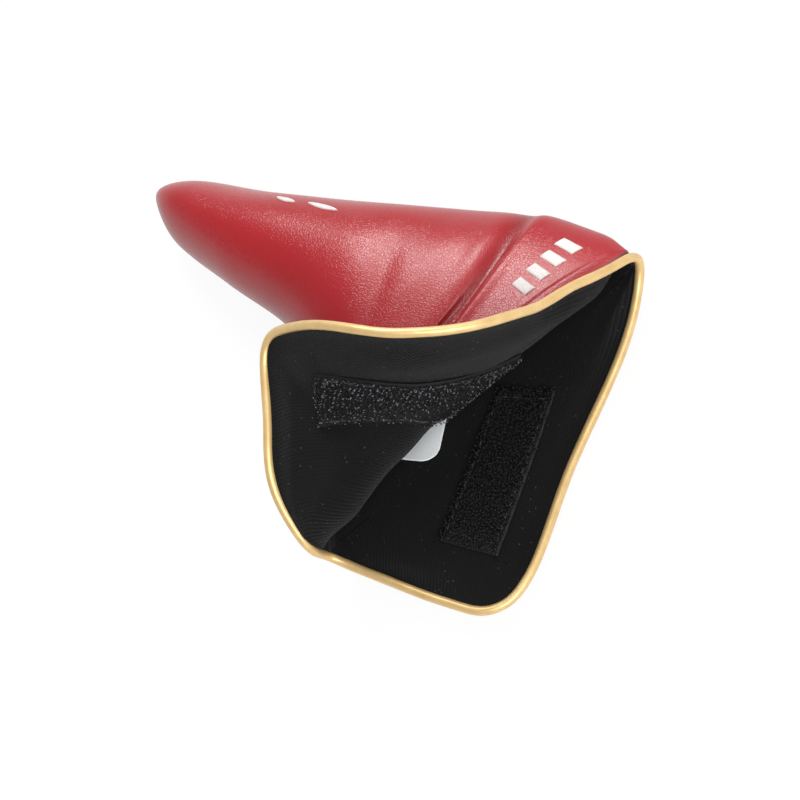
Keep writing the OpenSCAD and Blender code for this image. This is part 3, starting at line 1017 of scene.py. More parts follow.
@dataclass(frozen=True)
class Crease:
    """The front leather's crease, its places and widths in the CAD's crease widths, toe side above 0."""

    depth_share: float = 0.92
    heel_side: float = 0.55
    toe_side: float = 0.95
    welt_height: float = 0.75
    welt_place: float = -0.95
    welt_width: float = 0.42
    shade: float = 0.38
    shade_heel_side: float = 0.25
    shade_toe_side: float = 0.7


@dataclass
class Rim:
    """A panel's finished rim from neck to heel.

    It holds the cord's line, the panel's normals along it, the columns w of its points and how far easing
    moved each of them.
    """

    line: Array
    turn: Array
    shares: Array
    move: Array


@dataclass
class PaddedWall:
    """Leather and lining of one panel, each one continuous skin from the free edge to the nose."""

    panel: Panel
    rim: Rim
    leather_slack: Slack = Slack(4.0, 22.0, 0.8, 0.004, 1.1)
    lining_slack: Slack = Slack(3.0, 9.0, 0.15, 0.012, 1.4)
    fullness: tuple[Fullness, ...] = (
        Fullness(0.3, 0.27, 0.04, 0.25, 0.22),
        Fullness(1.1, 1.0, 0.95, 0.2, 0.2, by_crease=True),
        Fullness(0.35, 0.42, 0.05, 0.42, 0.3),
        Fullness(-0.75, 0.365, 0.03, 0.44, 0.25, slant=0.2),
    )
    creased: Crease = Crease()
    groove_depth: float = 0.5
    seam_fade: float = 16.0
    flap_share: float = 0.6
    seam_thickness: float = 0.45
    rest_level: float = 0.01
    frames: int = 20
    trial_rows: int = 84
    trial_columns: int = 76
    swells: dict[str, Array] = field(default_factory=dict)
    columns: int = 230
    flap_rows: int = 70
    pocket_rows: int = 150

    def rows(self) -> Array:
        """Rows q: closer together at the free edge, at the fold and at the nose.

        They are -1 + x + 0.10 sin(2 pi x) / (2 pi) on the flap, and x + 0.35 sin(pi x) x (1 - x) in the
        pocket.

        Returns:
            (r,) rows from -1 to 1.
        """
        flap = np.linspace(0, 1, self.flap_rows, endpoint=False)
        pocket = np.linspace(0, 1, self.pocket_rows)
        before = -1 + flap + 0.10 * np.sin(2 * math.pi * flap) / (2 * math.pi)
        return np.concatenate([before, pocket + 0.35 * np.sin(math.pi * pocket) * (1 - pocket) * pocket])

    def column_shares(self) -> Array:
        """Columns w, closer together towards both corners."""
        return crowded(np.linspace(0, 1, self.columns), 0.72)

    def swell(self, name: str, points: Array, slack: Slack) -> Array:
        """Swell of a skin under its padding.

        A coarse copy of the skin is simulated. The way each point moves along its normal, less the mean, is
        capped smoothly by cap x tanh(move / cap) and mixed back to the full grid.

        Args:
            name: name that the result is kept under.
            points: (r, c, 3) full grid of the skin.
            slack: how the skin gives.

        Returns:
            (r, c) swell in millimetres.
        """
        if name in self.swells:
            return self.swells[name]
        rows, columns = points.shape[:2]
        i = np.unique(np.round(np.linspace(0, rows - 1, self.trial_rows)).astype(int))
        j = np.unique(np.round(np.linspace(0, columns - 1, self.trial_columns)).astype(int))
        coarse = points[np.ix_(i, j)]
        moved = self.pressed(name, coarse, slack) - coarse
        out = np.sum(moved * self.panel.normals(coarse), -1)
        log.info("%s swells by %.2f to %.2f mm before its cap", name, out.min(), out.max())
        out = slack.cap * np.tanh((out - out.mean()) / slack.cap)
        out = between(np.arange(rows), i, out)
        self.swells[name] = np.stack([np.interp(np.arange(columns), j, row) for row in out])
        return self.swells[name]

    def pressed(self, name: str, coarse: Array, slack: Slack) -> Array:
        """Cloth simulation of a coarse skin, pressed from inside and held along its seams, rim and nose.

        Args:
            name: name of the trial mesh, which is taken away again.
            coarse: (r, c, 3) grid of the skin at rest.
            slack: how the skin gives.

        Returns:
            (r, c, 3) grid of the pressed skin.
        """
        rows, columns = coarse.shape[:2]
        start = coarse.reshape(-1, 3)
        faces = grid_faces(rows, columns, flip=not self.panel.front)
        trial = new_mesh(f"{name}_trial", start, faces, start[:, :2])
        edge = np.ones((rows, columns), bool)
        edge[1:-1, 1:-1] = False
        held = trial.vertex_groups.new(name="held")
        held.add(np.flatnonzero(edge.ravel()).tolist(), 1.0, "REPLACE")
        cloth = trial.modifiers.new("cloth", "CLOTH")
        cloth.point_cache.frame_start, cloth.point_cache.frame_end = 1, self.frames
        how = cloth.settings
        how.quality, how.mass, how.vertex_group_mass = 6, 0.3, held.name
        how.tension_stiffness = how.compression_stiffness = slack.stiffness
        how.shear_stiffness, how.bending_stiffness = slack.stiffness / 3, slack.bending
        how.shrink_min = -slack.growth
        how.use_pressure, how.uniform_pressure_force = True, slack.pressure
        how.effector_weights.gravity = 0.0
        scene = bpy.context.scene
        for frame in range(1, self.frames + 1):
            scene.frame_set(frame)
        done = trial.evaluated_get(bpy.context.evaluated_depsgraph_get())
        found = np.empty(start.size, np.float32)
        done.data.vertices.foreach_get("co", found)
        scene.frame_set(1)
        mesh = trial.data
        bpy.data.objects.remove(trial)
        bpy.data.meshes.remove(mesh)
        return found.reshape(coarse.shape) / MM

    @staticmethod
    def from_seam(across: Array) -> Array:
        """Distance from the nearer closed seam, from the distances run across each row."""
        return np.minimum(across, across[:, -1:] - across)

    @staticmethod
    def past_crease(t: Array, u: Array) -> Array:
        """Crease widths past the crease's line, which lies at t = 0.22 at the sole and 0.04 at the top."""
        return (t - (0.22 - 0.30 * u + 0.12 * u**2)) / Panel.CREASE_WIDTH

    def relief(self, points: Array, t: Array, s: Array, u: Array) -> Array:
        """How far the leather stands out from the plain surface, in millimetres.

        It is the sum of a groove along each closed seam, the long soft swells of the padding, and on the
        front the crease: a broad slope on its toe side, a steep edge with a welt on its heel side, and the
        swells and the hollow past it.

        Args:
            points: (r, c, 3) grid of the plain surface.
            t: share of the way to the nose.
            s: distance past the fold.
            u: share of the way up from the sole seam.

        Returns:
            (r, c) relief.
        """
        seam = self.from_seam(arc(points, 1))
        groove = -self.groove_depth * bell(seam) * smooth(t / 0.03)
        away = smooth(seam / self.seam_fade)
        swell = self.swell(f"{self.panel.side.label}_leather", points, self.leather_slack)
        loose = swell + 0.2 * ripple(points, 42.0, 3)
        out = groove + away * loose * np.where(s > 0, self.flap_share, 1.0)
        if not self.panel.front:
            return out
        form, round_seams = self.creased, np.sqrt(lens(u))
        x = self.past_crease(t, u)
        wanted = np.where(x < 0, bell(x / form.heel_side), bell(x / form.toe_side))
        depth = form.depth_share * self.panel.sizes.crease_depth
        out += self.panel.crease(t, u) - depth * round_seams * wanted
        welt = form.welt_height * round_seams * bell((x - form.welt_place) / form.welt_width)
        out += welt * smooth((0.9 - u) / 0.3)
        for full in self.fullness:
            across = (x if full.by_crease else t) - full.across + full.slant * (u - full.level)
            out += full.height * away * bell(across / full.width) * bell((u - full.up) / full.length)
        return out

    def shading(self, skin: Array, across: Array, t: Array, s: Array, u: Array) -> Array:
        """Share by which the leather darkens where little light gets in: crease, seams, rim and corners.

        Args:
            skin: (r, c, 3) grid of the leather.
            across: distances run across each row.
            t: share of the way to the nose.
            s: distance past the fold.
            u: share of the way up from the sole seam.

        Returns:
            (r, c) shares from 0 to 1.
        """
        deep = np.zeros_like(t)
        if self.panel.front:
            x, form = self.past_crease(t, u), self.creased
            line = np.where(x < 0, bell(x / form.shade_heel_side), bell(x / form.shade_toe_side))
            deep = form.shade * line * smooth((0.75 - u) / 0.4) * (s <= 0)
        fold = np.clip(deep + 0.5 * bell(self.from_seam(across) / 0.9) * (t > 0.02), 0, 1)
        edge = np.linalg.norm(skin - skin[:1], axis=-1)
        fold = np.maximum(fold, 0.9 * bell(edge / 0.8) * (s > 0))
        to_ends = [np.linalg.norm(skin - skin[0, end], axis=-1) for end in (0, -1)]
        return np.maximum(fold, bell(np.minimum(*to_ends) / 2.5))

    def eased(self, skin: Array, edge: Array, w: Array) -> Array:
        """Skin moved with the piping near its free edge: the rim's own move times bell(distance / 8 mm)."""
        move = between(w, self.rim.shares, self.rim.move)
        return self.panel.filled(skin + fading(skin, edge[None], 8.0) * move[None])

    def tucked(self, skin: Array, w: Array) -> Array:
        """Skin with one more row past its free edge, into the piping, 0.5 mm from the cord's middle."""
        middle = between(w, self.rim.shares, self.rim.line)
        return np.concatenate([(middle + 0.5 * unit(skin[0] - middle))[None], skin])

    @staticmethod
    def tucked_pattern(pattern: Array) -> Array:
        """Pattern of a tucked skin: its first row is 1 mm before the free edge."""
        return np.concatenate([pattern[:1] - [0, 1], pattern])

    def leather(self) -> Surface:
        """Outer face of the leather.

        Returns:
            Its grid, one row longer than the rows q, with the shares of painted shade that darken it.
        """
        q, w = self.rows(), self.column_shares()
        points, t, s, u = self.panel.at(q, w)
        normal = self.panel.normals(points)
        out = self.relief(points, t, s, u)
        rested = np.where((points[..., 2] < self.rest_level) & (not self.panel.front), 0.0, 1.0)
        skin = points + normal * (out * rested)[..., None]
        skin[..., 2] = np.maximum(skin[..., 2], 0.0)
        across = arc(points, 1)
        fold = self.shading(skin, across, t, s, u)
        pattern = np.stack([across, arc(points, 0)], -1)
        skin = self.tucked(self.eased(skin, points[0], w), w)
        skin[..., 2] = np.maximum(skin[..., 2], 0.0)
        return Surface(skin, self.tucked_pattern(pattern), {"fold": np.concatenate([fold[:1], fold])})

    def lining(self) -> Surface:
        """Inner face: the outer one moved in by the whole wall, with the hollows and rolls of loose knit.

        Returns:
            Its grid, one row longer than the rows q.
        """
        q, w = self.rows(), self.column_shares()
        points, t, s, u = self.panel.at(q, w)
        normal = self.panel.normals(points)
        sizes = self.panel.sizes
        across = arc(points, 1)
        closed = smooth(self.from_seam(across) / 3.5)
        skins = self.seam_thickness + (sizes.leather + sizes.lining - self.seam_thickness) * closed
        depth = skins + self.panel.foam(t, s, u, w)
        edge = np.linalg.norm(points - points[:1], axis=-1)
        calm = smooth(edge / 8.0) * smooth(t / 0.02 + (s > 0))
        plain = points - normal * depth[..., None]
        swell = self.swell(f"{self.panel.side.label}_lining", plain, self.lining_slack)
        loose = calm * closed * (0.6 * swell + 0.22 * ripple(points, 18.0, 11))
        skin = points - normal * (depth + loose)[..., None]
        pattern = np.stack([across, arc(points, 0)], -1)
        skin = self.tucked(self.eased(skin, points[0], w), w)
        return Surface(skin, self.tucked_pattern(pattern))

    def skin_at(self, t: Array, u: Array) -> Array:
        """Points of the finished leather in the pocket, mixed from the four grid points round each place.

        Args:
            t: share of the way to the nose.
            u: share of the way up from the sole seam, or along the neck line from the heel.

        Returns:
            (..., 3) points.
        """
        skin = self.leather().points[1:]
        share, _ = self.panel.free_edge(self.column_shares())
        i = np.interp(t, self.rows(), np.arange(len(skin)))
        j = np.interp(-u, -share, np.arange(len(share)))
        i0, j0 = np.minimum(i.astype(int), len(skin) - 2), np.minimum(j.astype(int), len(share) - 2)
        a, b = (i - i0)[..., None], (j - j0)[..., None]
        near = (1 - b) * skin[i0, j0] + b * skin[i0, j0 + 1]
        far = (1 - b) * skin[i0 + 1, j0] + b * skin[i0 + 1, j0 + 1]
        return (1 - a) * near + a * far

    def build(self, finishes: Materials) -> list[Piece]:
        """Makes both skins.

        Args:
            finishes: the cover's materials, by their names in Finishes.

        Returns:
            The new pieces.
        """
        name = self.panel.side.label
        leather = sheet_mesh(f"{name}_leather", self.leather(), flip=not self.panel.front)
        lining = sheet_mesh(f"{name}_knit_lining", self.lining(), flip=self.panel.front)
        wear(leather, finishes["leather"])
        wear(lining, finishes["knit"])
        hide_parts(f"{name}_shell", f"{name}_foam", f"{name}_bend_shell", f"{name}_bend_foam",
                    f"{name}_flap_shell", f"{name}_flap_foam")
        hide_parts(f"{name}_lining", f"{name}_bend_lining", f"{name}_flap_lining")
        for piece in (leather, lining):
            bend_with_flap(piece)
        return [leather, lining]


def bend_with_flap(piece: Piece) -> None:
    """Bakes the piece's placement into its mesh.

    Args:
        piece: the piece.
    """
    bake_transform(piece)


# ---------------------------------------------------------------- piping


@dataclass
class Piping:
    """Foil-covered cord sewn round the whole mouth, made as two halves that meet at the corners."""

    front: Panel
    back: Panel
    sides: int = 20
    gap: float = 0.05
    rim_points: int = 420
    line_points: int = 600
    corner_cut: int = 14
    corner_radius: float = 9.0
    easing_rounds: int = 420

    def rim_shares(self) -> Array:
        """Columns w of the points of a rim, closer together towards both corners."""
        return crowded(np.linspace(0, 1, self.rim_points), 0.8)

    def rim(self, panel: Panel) -> tuple[Array, Array]:
        """Centre line just off a panel's free edge, and the panel's normal along it, from neck to heel.

        Args:
            panel: front or back panel.

        Returns:
            The line and the normals, each (n, 3).
        """
        points, *_ = panel.at(np.array([-1.0, -0.985, -0.97]), self.rim_shares())
        normal = panel.normals(points, seams=False)[0]
        along_rim = unit(np.gradient(points[0], axis=0))
        out = unit(panel.sign * np.cross(along_rim, normal))
        sizes = panel.sizes
        path = points[0] - normal * (sizes.leather + sizes.lining) / 2 + out * (sizes.piping / 2 + self.gap)
        return path, normal

    def loop(self) -> dict[Side, Rim]:
        """The whole rim as one closed line, eased over the corners so that the cord turns in a soft bend.

        Easing is repeated averaging, p + g((a + b)/2 - p) with neighbours a and b, where g is 1 at a corner
        and falls to a small share 14 mm away.

        Returns:
            The finished rim of each side.
        """
        sizes, count = self.front.sizes, self.line_points
        height, reach = UP * sizes.rest_height, sizes.piping / 2 - 0.1
        neck = self.front.corner + self.front.neck + self.front.along * reach + height
        heel = self.front.corner - self.front.along * reach + height
        keep = slice(self.corner_cut, -self.corner_cut)
        lines, turns, shares = [], [], []
        for panel in (self.front, self.back):
            path, normal = self.rim(panel)
            line = np.concatenate([neck[None], path[keep], heel[None]])
            turn = np.concatenate([panel.along[None], normal[keep], -panel.along[None]])
            run = arc(line, 0)
            even = np.linspace(0, run[-1], count)
            lines.append(between(even, run, line))
            turns.append(unit(between(even, run, turn)))
            shares.append(np.interp(even, run, np.concatenate([[0.0], self.rim_shares()[keep], [1.0]])))
        ring = np.concatenate([lines[0], lines[1][-2:0:-1]])
        near = np.minimum(np.linalg.norm(ring - neck, axis=-1), np.linalg.norm(ring - heel, axis=-1))
        share = (0.06 + 0.94 * bell(near / self.corner_radius))[:, None]
        eased = ring.copy()
        for _ in range(self.easing_rounds):
            eased = eased + share * (0.5 * (np.roll(eased, 1, 0) + np.roll(eased, -1, 0)) - eased)
        picks = (np.arange(count), np.concatenate([[0], np.arange(len(ring) - 1, count - 2, -1)]))
        return {
            panel.side: Rim(panel.filled(eased[pick]), turn, w, (eased - ring)[pick])
            for panel, pick, turn, w in zip((self.front, self.back), picks, turns, shares)
        }

    def build(self, finishes: Materials) -> list[Piece]:
        """Makes the two halves. Each covers one corner's pieces too.

        Args:
            finishes: the cover's materials, by their names in Finishes.

        Returns:
            The new pieces.
        """
        pieces, loop = [], self.loop()
        for panel, corner in ((self.front, "heel"), (self.back, "neck")):
            name = panel.side.label
            rim = loop[panel.side]
            radius = panel.sizes.piping / 2 * (1 + 0.012 * ripple(rim.line, 9.0, 21))
            tube = tube_mesh(f"{name}_piping", rim.line, rim.turn, radius, self.sides, caps=False)
            wear(tube, finishes["foil"])
            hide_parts(f"{name}_piping_cover", f"{name}_piping_cord",
                        f"{corner}_piping_cover", f"{corner}_piping_cord")
            bend_with_flap(tube)
            pieces.append(tube)
        return pieces


# ---------------------------------------------------------------- tapes


@dataclass(frozen=True)
class Pile:
    """The raised field of a tape: one small bent strip, its sizes in millimetres and how much they vary."""

    step: tuple[float, float]
    scatter: tuple[float, float]
    tall: tuple[float, float]
    wide: tuple[float, float]
    thick: float
    profile: tuple[tuple[float, float], ...]


@dataclass
class Tape:
    """Hook or loop tape sewn to a flap's lining, with its raised field and its stitches."""

    panel: Panel
    middle: tuple[float, float] = (72.3, 17.5)
    angle: float = 32.0
    root: float = -4.0
    pull: tuple[float, float] = (5.2, 1.8)
    pocket_share: float = 0.82
    base_top: float = 0.35
    base_sunk: float = 0.25
    field_inset: tuple[float, float] = (0.985, 0.97)
    field_lift: float = 0.7
    hook_spread: float = 0.25
    stitch_length: float = 2.4
    stitch_pitch: float = 3.4
    stitch_radius: float = 0.22
    stitch_inset: float = 0.84
    hooks: Pile = Pile((1.15, 1.0), (0.006, 0.014), (0.75, 0.95), (0.45, 0.45), 0.14,
                       ((0, 0), (0, 0.6), (0.25, 1.0), (0.8, 0.92), (1.0, 0.55)))
    loops: Pile = Pile((0.95, 0.95), (0.012, 0.03), (0.5, 1.3), (0.8, 1.7), 0.15,
                       ((-0.5, 0), (-0.45, 0.7), (0, 1.0), (0.45, 0.7), (0.5, 0)))

    @property
    def hook(self) -> bool:
        """Whether this is the hook tape, on the front flap."""
        return self.panel.front

    def corner(self, x: float, y: float) -> Array:
        """A corner in (distance along the neck line, reach), cut off past the root inside the mouth.

        The hook tape's far upper corner is pulled in, as the flap's curl draws it.

        Args:
            x: -1 for the end nearer the heel, 1 for the other.
            y: -1 for the long edge nearer the fold, 1 for the other.

        Returns:
            (2,) place on the flap.
        """
        sizes = self.panel.sizes
        a = math.radians(self.angle)
        along, across = np.array([math.cos(a), math.sin(a)]), np.array([-math.sin(a), math.cos(a)])
        q = np.array(self.middle) + along * x * sizes.tape_length / 2 + across * y * sizes.tape_width / 2
        if self.hook and x > 0 and y > 0:
            q = q - along * self.pull[0] - across * self.pull[1]
        return q + along * max(self.root - q[1], 0.0) / along[1]

    def spot(self, x: Array, y: Array) -> Array:
        """Place on the tape, x and y from -1 to 1, by mixing its four corners.

        Args:
            x: way along the tape.
            y: way across the tape.

        Returns:
            (..., 2) places on the flap.
        """
        k, m = ((x + 1) / 2)[..., None], ((y + 1) / 2)[..., None]
        low = (1 - k) * self.corner(-1, -1) + k * self.corner(1, -1)
        high = (1 - k) * self.corner(-1, 1) + k * self.corner(1, 1)
        return (1 - m) * low + m * high

    def lifted(self, spot: Array, lift: Array) -> Array:
        """Point lift above the lining on the flap, or just inside the mouth where the reach is negative.

        Args:
            spot: (..., 2) places on the flap.
            lift: heights above the lining.

        Returns:
            (..., 3) points.
        """
        panel = self.panel
        u, s = spot[..., 0] / panel.neck_length, spot[..., 1]
        t = np.maximum(-s, 0) / (self.pocket_share * panel.sizes.sole_length)
        flap, out = panel.flap_point(np.maximum(s, 0), u), panel.flap_normal(np.maximum(s, 0), u)
        pocket, inner = panel.pocket_point(t, u), panel.pocket_normal(t, u)
        point = np.where(s[..., None] >= 0, flap, pocket)
        n = unit(np.where(s[..., None] >= 0.6, out, out + inner))
        return point - n * (panel.sizes.wall + SEWN_GAP + np.asarray(lift))[..., None]

    def base(self, name: str) -> Piece:
        """Woven base as a closed slab, 0.6 mm thick at its border and 0.9 mm inside it.

        Args:
            name: name of the piece.

        Returns:
            The new piece.
        """
        x, y = np.meshgrid(np.linspace(-1, 1, 90), np.linspace(-1, 1, 36), indexing="ij")
        border = np.minimum(1 - np.abs(x), (1 - np.abs(y)) * 0.37)
        spot = self.spot(x, y)
        uneven = 0.05 * ripple(np.concatenate([spot, spot[..., :1]], -1), 5.0, 31)
        top = self.lifted(spot, self.base_top + 0.3 * smooth(border / 0.02) + uneven)
        low = self.lifted(spot, np.full_like(x, -self.base_sunk))
        return slab_mesh(name, Surface(top, spot), low, flip=not self.hook)

    def squeeze(self, spot: Array) -> Array:
        """Scale (1, k) of what stands inside the flap's bend: k = 1 / (1 + depth x turn of the bend).

        Args:
            spot: (n, 2) places on the flap.

        Returns:
            (n, 2) scales, along the neck line and away from it.
        """
        panel = self.panel
        turn = np.abs(panel.fold_angle(spot[:, 0] / panel.neck_length)) / panel.bend
        bent = (spot[:, 1] > 0) & (spot[:, 1] < panel.bend)
        shrunk = np.where(bent, 1 / (1 + (panel.sizes.wall + 1.0) * turn), 1.0)
        return np.stack([np.ones(len(spot)), shrunk], -1)

    def tufts(self, name: str) -> Piece:
        """The raised field: rows of small bent hooks, or a pile of tangled low loops.

        Each is a strip carried along a bent line of a few points: up, over and part of the way down.

        Args:
            name: name of the piece.

        Returns:
            The new piece.
        """
        rng = np.random.default_rng(41 if self.hook else 42)
        pile, sizes = self.hooks if self.hook else self.loops, self.panel.sizes
        across, up = int(sizes.tape_length / pile.step[0]), int(sizes.tape_width / pile.step[1])
        middles = [(np.arange(count) + 0.5) / count * 2 - 1 for count in (across, up)]
        x, y = np.meshgrid(*middles, indexing="ij")
        inside = (np.abs(x) < self.field_inset[0]) & (np.abs(y) < self.field_inset[1])
        x, y = x[inside], y[inside]
        x, y = x + rng.normal(0, pile.scatter[0], x.shape), y + rng.normal(0, pile.scatter[1], y.shape)
        n, spot = len(x), self.spot(x, y)
        if self.hook:
            heading = rng.normal(0, self.hook_spread, n) + math.pi * (np.round(y * up / 2).astype(int) % 2)
        else:
            heading = rng.uniform(0, 2 * math.pi, n)
        tall = rng.uniform(*pile.tall, n)
        wide = np.full(n, pile.wide[0]) if self.hook else rng.uniform(*pile.wide, n)
        aim = np.stack([np.cos(heading), np.sin(heading)], -1)
        side = np.stack([-aim[:, 1], aim[:, 0]], -1)
        squeeze = self.squeeze(spot)
        aim, side = aim * squeeze, side * squeeze
        verts = []
        for ahead, high in pile.profile:
            middle = spot + aim * (ahead * wide)[:, None]
            lift = self.field_lift + high * tall
            for sx, sz in ((-1, -1), (1, -1), (1, 1), (-1, 1)):
                verts.append(self.lifted(middle + side * sx * pile.thick, lift + sz * pile.thick * 0.7))
        size = len(verts)
        ends = np.array([[3, 2, 1, 0], [size - 4, size - 3, size - 2, size - 1]])
        one = np.concatenate([grid_faces(len(pile.profile), 4, wrap=True), ends])
        faces = (one[None] + (np.arange(n) * size)[:, None, None]).reshape(-1, 4)
        uv = np.repeat(spot, size, axis=0)
        return new_mesh(name, np.stack(verts, 1).reshape(-1, 3), faces[:, ::-1] if self.hook else faces, uv)

    def stitches(self, name: str) -> Piece:
        """Stitches 2.4 mm long and 3.4 mm apart, in a closed line inset from the tape's edge.

        Args:
            name: name of the piece.

        Returns:
            The new piece.
        """
        inset = self.stitch_inset
        line = [(-inset, -inset), (inset, -inset), (inset, inset), (-inset, inset), (-inset, -inset)]
        line = np.array(line) * [1.04, 1.0]
        spots, aims = [], []
        for a, b in zip(line[:-1], line[1:]):
            p, q = self.spot(*a[:, None])[0], self.spot(*b[:, None])[0]
            count = int(np.linalg.norm(q - p) / self.stitch_pitch)
            k = (np.arange(count) + 0.5) / count
            spots.append(p + (q - p) * k[:, None])
            aims.append(np.tile((q - p) / np.linalg.norm(q - p), (count, 1)))
        return self.thread_row(name, np.concatenate(spots), np.concatenate(aims))

    def thread_row(self, name: str, spot: Array, aim: Array) -> Piece:
        """Short bowed threads that dip into the tape at both ends.

        The middle line's lift is 0.78 + 0.22 (1 - x^4) - 0.35 |x|^8 over each length, and the thread tapers
        by 1 - 0.35 x^6.

        Args:
            name: name of the piece.
            spot: (n, 2) middles of the stitches on the tape.
            aim: (n, 2) directions of the stitches.

        Returns:
            All the stitches as one object.
        """
        rows, sides = 9, 8
        x = np.linspace(-1, 1, rows)
        side = np.stack([-aim[:, 1], aim[:, 0]], -1)
        angle = np.arange(sides) * math.pi / 4
        arch = 0.78 + 0.22 * (1 - x**4) - 0.35 * np.abs(x) ** 8
        taper = self.stitch_radius * (1 - 0.35 * x**6)
        along = x * self.stitch_length / 2
        centre = spot[:, None, None] + aim[:, None, None] * along[None, :, None, None]
        ring = centre + side[:, None, None] * (taper[None, :, None] * np.cos(angle)[None, None])[..., None]
        lift = (arch[:, None] + taper[:, None] * np.sin(angle)[None])[None] * np.ones((len(spot), 1, 1))
        verts = self.lifted(ring, lift).reshape(-1, 3)
        one = grid_faces(rows, sides, wrap=True)
        faces = (one[None] + (np.arange(len(spot)) * rows * sides)[:, None, None]).reshape(-1, 4)
        round_it = angle * self.stitch_radius
        uv = np.stack(np.broadcast_arrays(along[None, :, None], round_it[None, None]), -1)
        uv = np.tile(uv, (len(spot), 1, 1, 1)).reshape(-1, 2)
        return new_mesh(name, verts, faces if self.hook else faces[:, ::-1], uv)

    def build(self, finishes: Materials) -> list[Piece]:
        """Makes base, raised field and stitches on the flap's lining.

        Args:
            finishes: the cover's materials, by their names in Finishes.

        Returns:
            The new pieces.
        """
        kind = "hook" if self.hook else "loop"
        base, tufts = self.base(f"{kind}_tape_base"), self.tufts(f"{kind}_tape_field")
        thread = self.stitches(f"{kind}_tape_thread")
        wear(base, finishes[kind])
        wear(tufts, finishes["hooks" if self.hook else "loop"])
        wear(thread, finishes["black_thread"])
        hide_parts(f"{kind}_tape")
        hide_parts(f"{kind}_tape_stitches")
        for piece in (base, tufts, thread):
            bend_with_flap(piece)
        return [base, tufts, thread]


# ---------------------------------------------------------------- label


@dataclass
class CareLabel:
    """Blank satin label sewn to the back lining by its inner end, its free end lifting off to the mouth.

    Its corner is a place (t, u) of the pocket, and "across" and "inward" are the shares that a millimetre
    takes across the label and along it.
    """

    panel: Panel
    width: float = 20.0
    length: float = 34.0
    thickness: float = 0.25
    corner: tuple[float, float] = (0.003, 0.647)
    across: tuple[float, float] = (0.0069, 0.0080)
    inward: tuple[float, float] = (0.0051, -0.0042)
    rounding: float = 5.0
    out: float = 4.0
    sewn_at: float = 0.93
    thread_radius: float = 0.22

    def place(self, x: Array, y: Array, lift: Array) -> Array:
        """Points lift above the lining, x across from the heel side and y along from the free end.

        Args:
            x: distance across the label.
            y: distance along the label.
            lift: height above the lining.

        Returns:
            (..., 3) points.
        """
        along = (y - self.out)[..., None] * np.array(self.inward)
        share = np.array(self.corner) + x[..., None] * np.array(self.across) + along
        t, u = share[..., 0], share[..., 1]
        first, step = 0.004, 0.02
        inside = np.maximum(t, first)
        past = np.minimum(t - first, 0) / step
        on = self.panel.pocket_point(inside, u)
        on = on + past[..., None] * (self.panel.pocket_point(inside + step, u) - on)
        depth = self.panel.sizes.wall + SEWN_GAP + lift
        return on - self.panel.pocket_normal(inside, u) * depth[..., None]

    def lift(self, x: Array, y: Array) -> Array:
        """Lift of the label: flat where it is sewn, curling up by the cube of the way out, with a wave."""
        k = 1 - y / self.length
        return 0.15 + 1.5 * k**3 + 0.35 * k * np.sin(x * 0.33 + 0.5) + 0.5 * k**6 * bell(x / 6.0)

    def build(self, finishes: Materials) -> list[Piece]:
        """Makes the label as a thin slab with a rounded free corner, and its row of stitches.

        Args:
            finishes: the cover's materials, by their names in Finishes.

        Returns:
            The new pieces.
        """
        x, k = np.meshgrid(np.linspace(0, self.width, 50), np.linspace(0, 1, 70), indexing="ij")
        inset = np.clip(1 - x / self.rounding, 0, 1)
        free = self.rounding * (1 - np.sqrt(np.maximum(1 - inset**2, 0)))
        y = free + (self.length - free) * k
        lift = self.lift(x, y)
        top, low = self.place(x, y, lift + self.thickness), self.place(x, y, lift)
        label = slab_mesh("blank_label", Surface(top, np.stack([y, x], -1)), low, flip=True)
        wear(label, finishes["satin"])
        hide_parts("care_label")
        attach(label, "pocket")
        thread = self.thread()
        wear(thread, finishes["white_thread"])
        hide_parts("label_stitches")
        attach(thread, "pocket")
        return [label, thread]

    def thread(self) -> Piece:
        """One running thread across the sewn end, dipping between stitches: lift = h |sin|.

        Returns:
            The new piece.
        """
        x = np.linspace(0.04, 0.96, 120) * self.width
        y = np.full_like(x, self.sewn_at * self.length)
        path = self.place(x, y, self.lift(x, y) + self.thickness + 0.18 * np.abs(np.sin(x * 1.4)))
        radius = np.full(len(x), self.thread_radius)
        return tube_mesh("label_thread", path, np.tile(UP, (len(x), 1)), radius, 8)


# ---------------------------------------------------------------- embroidery


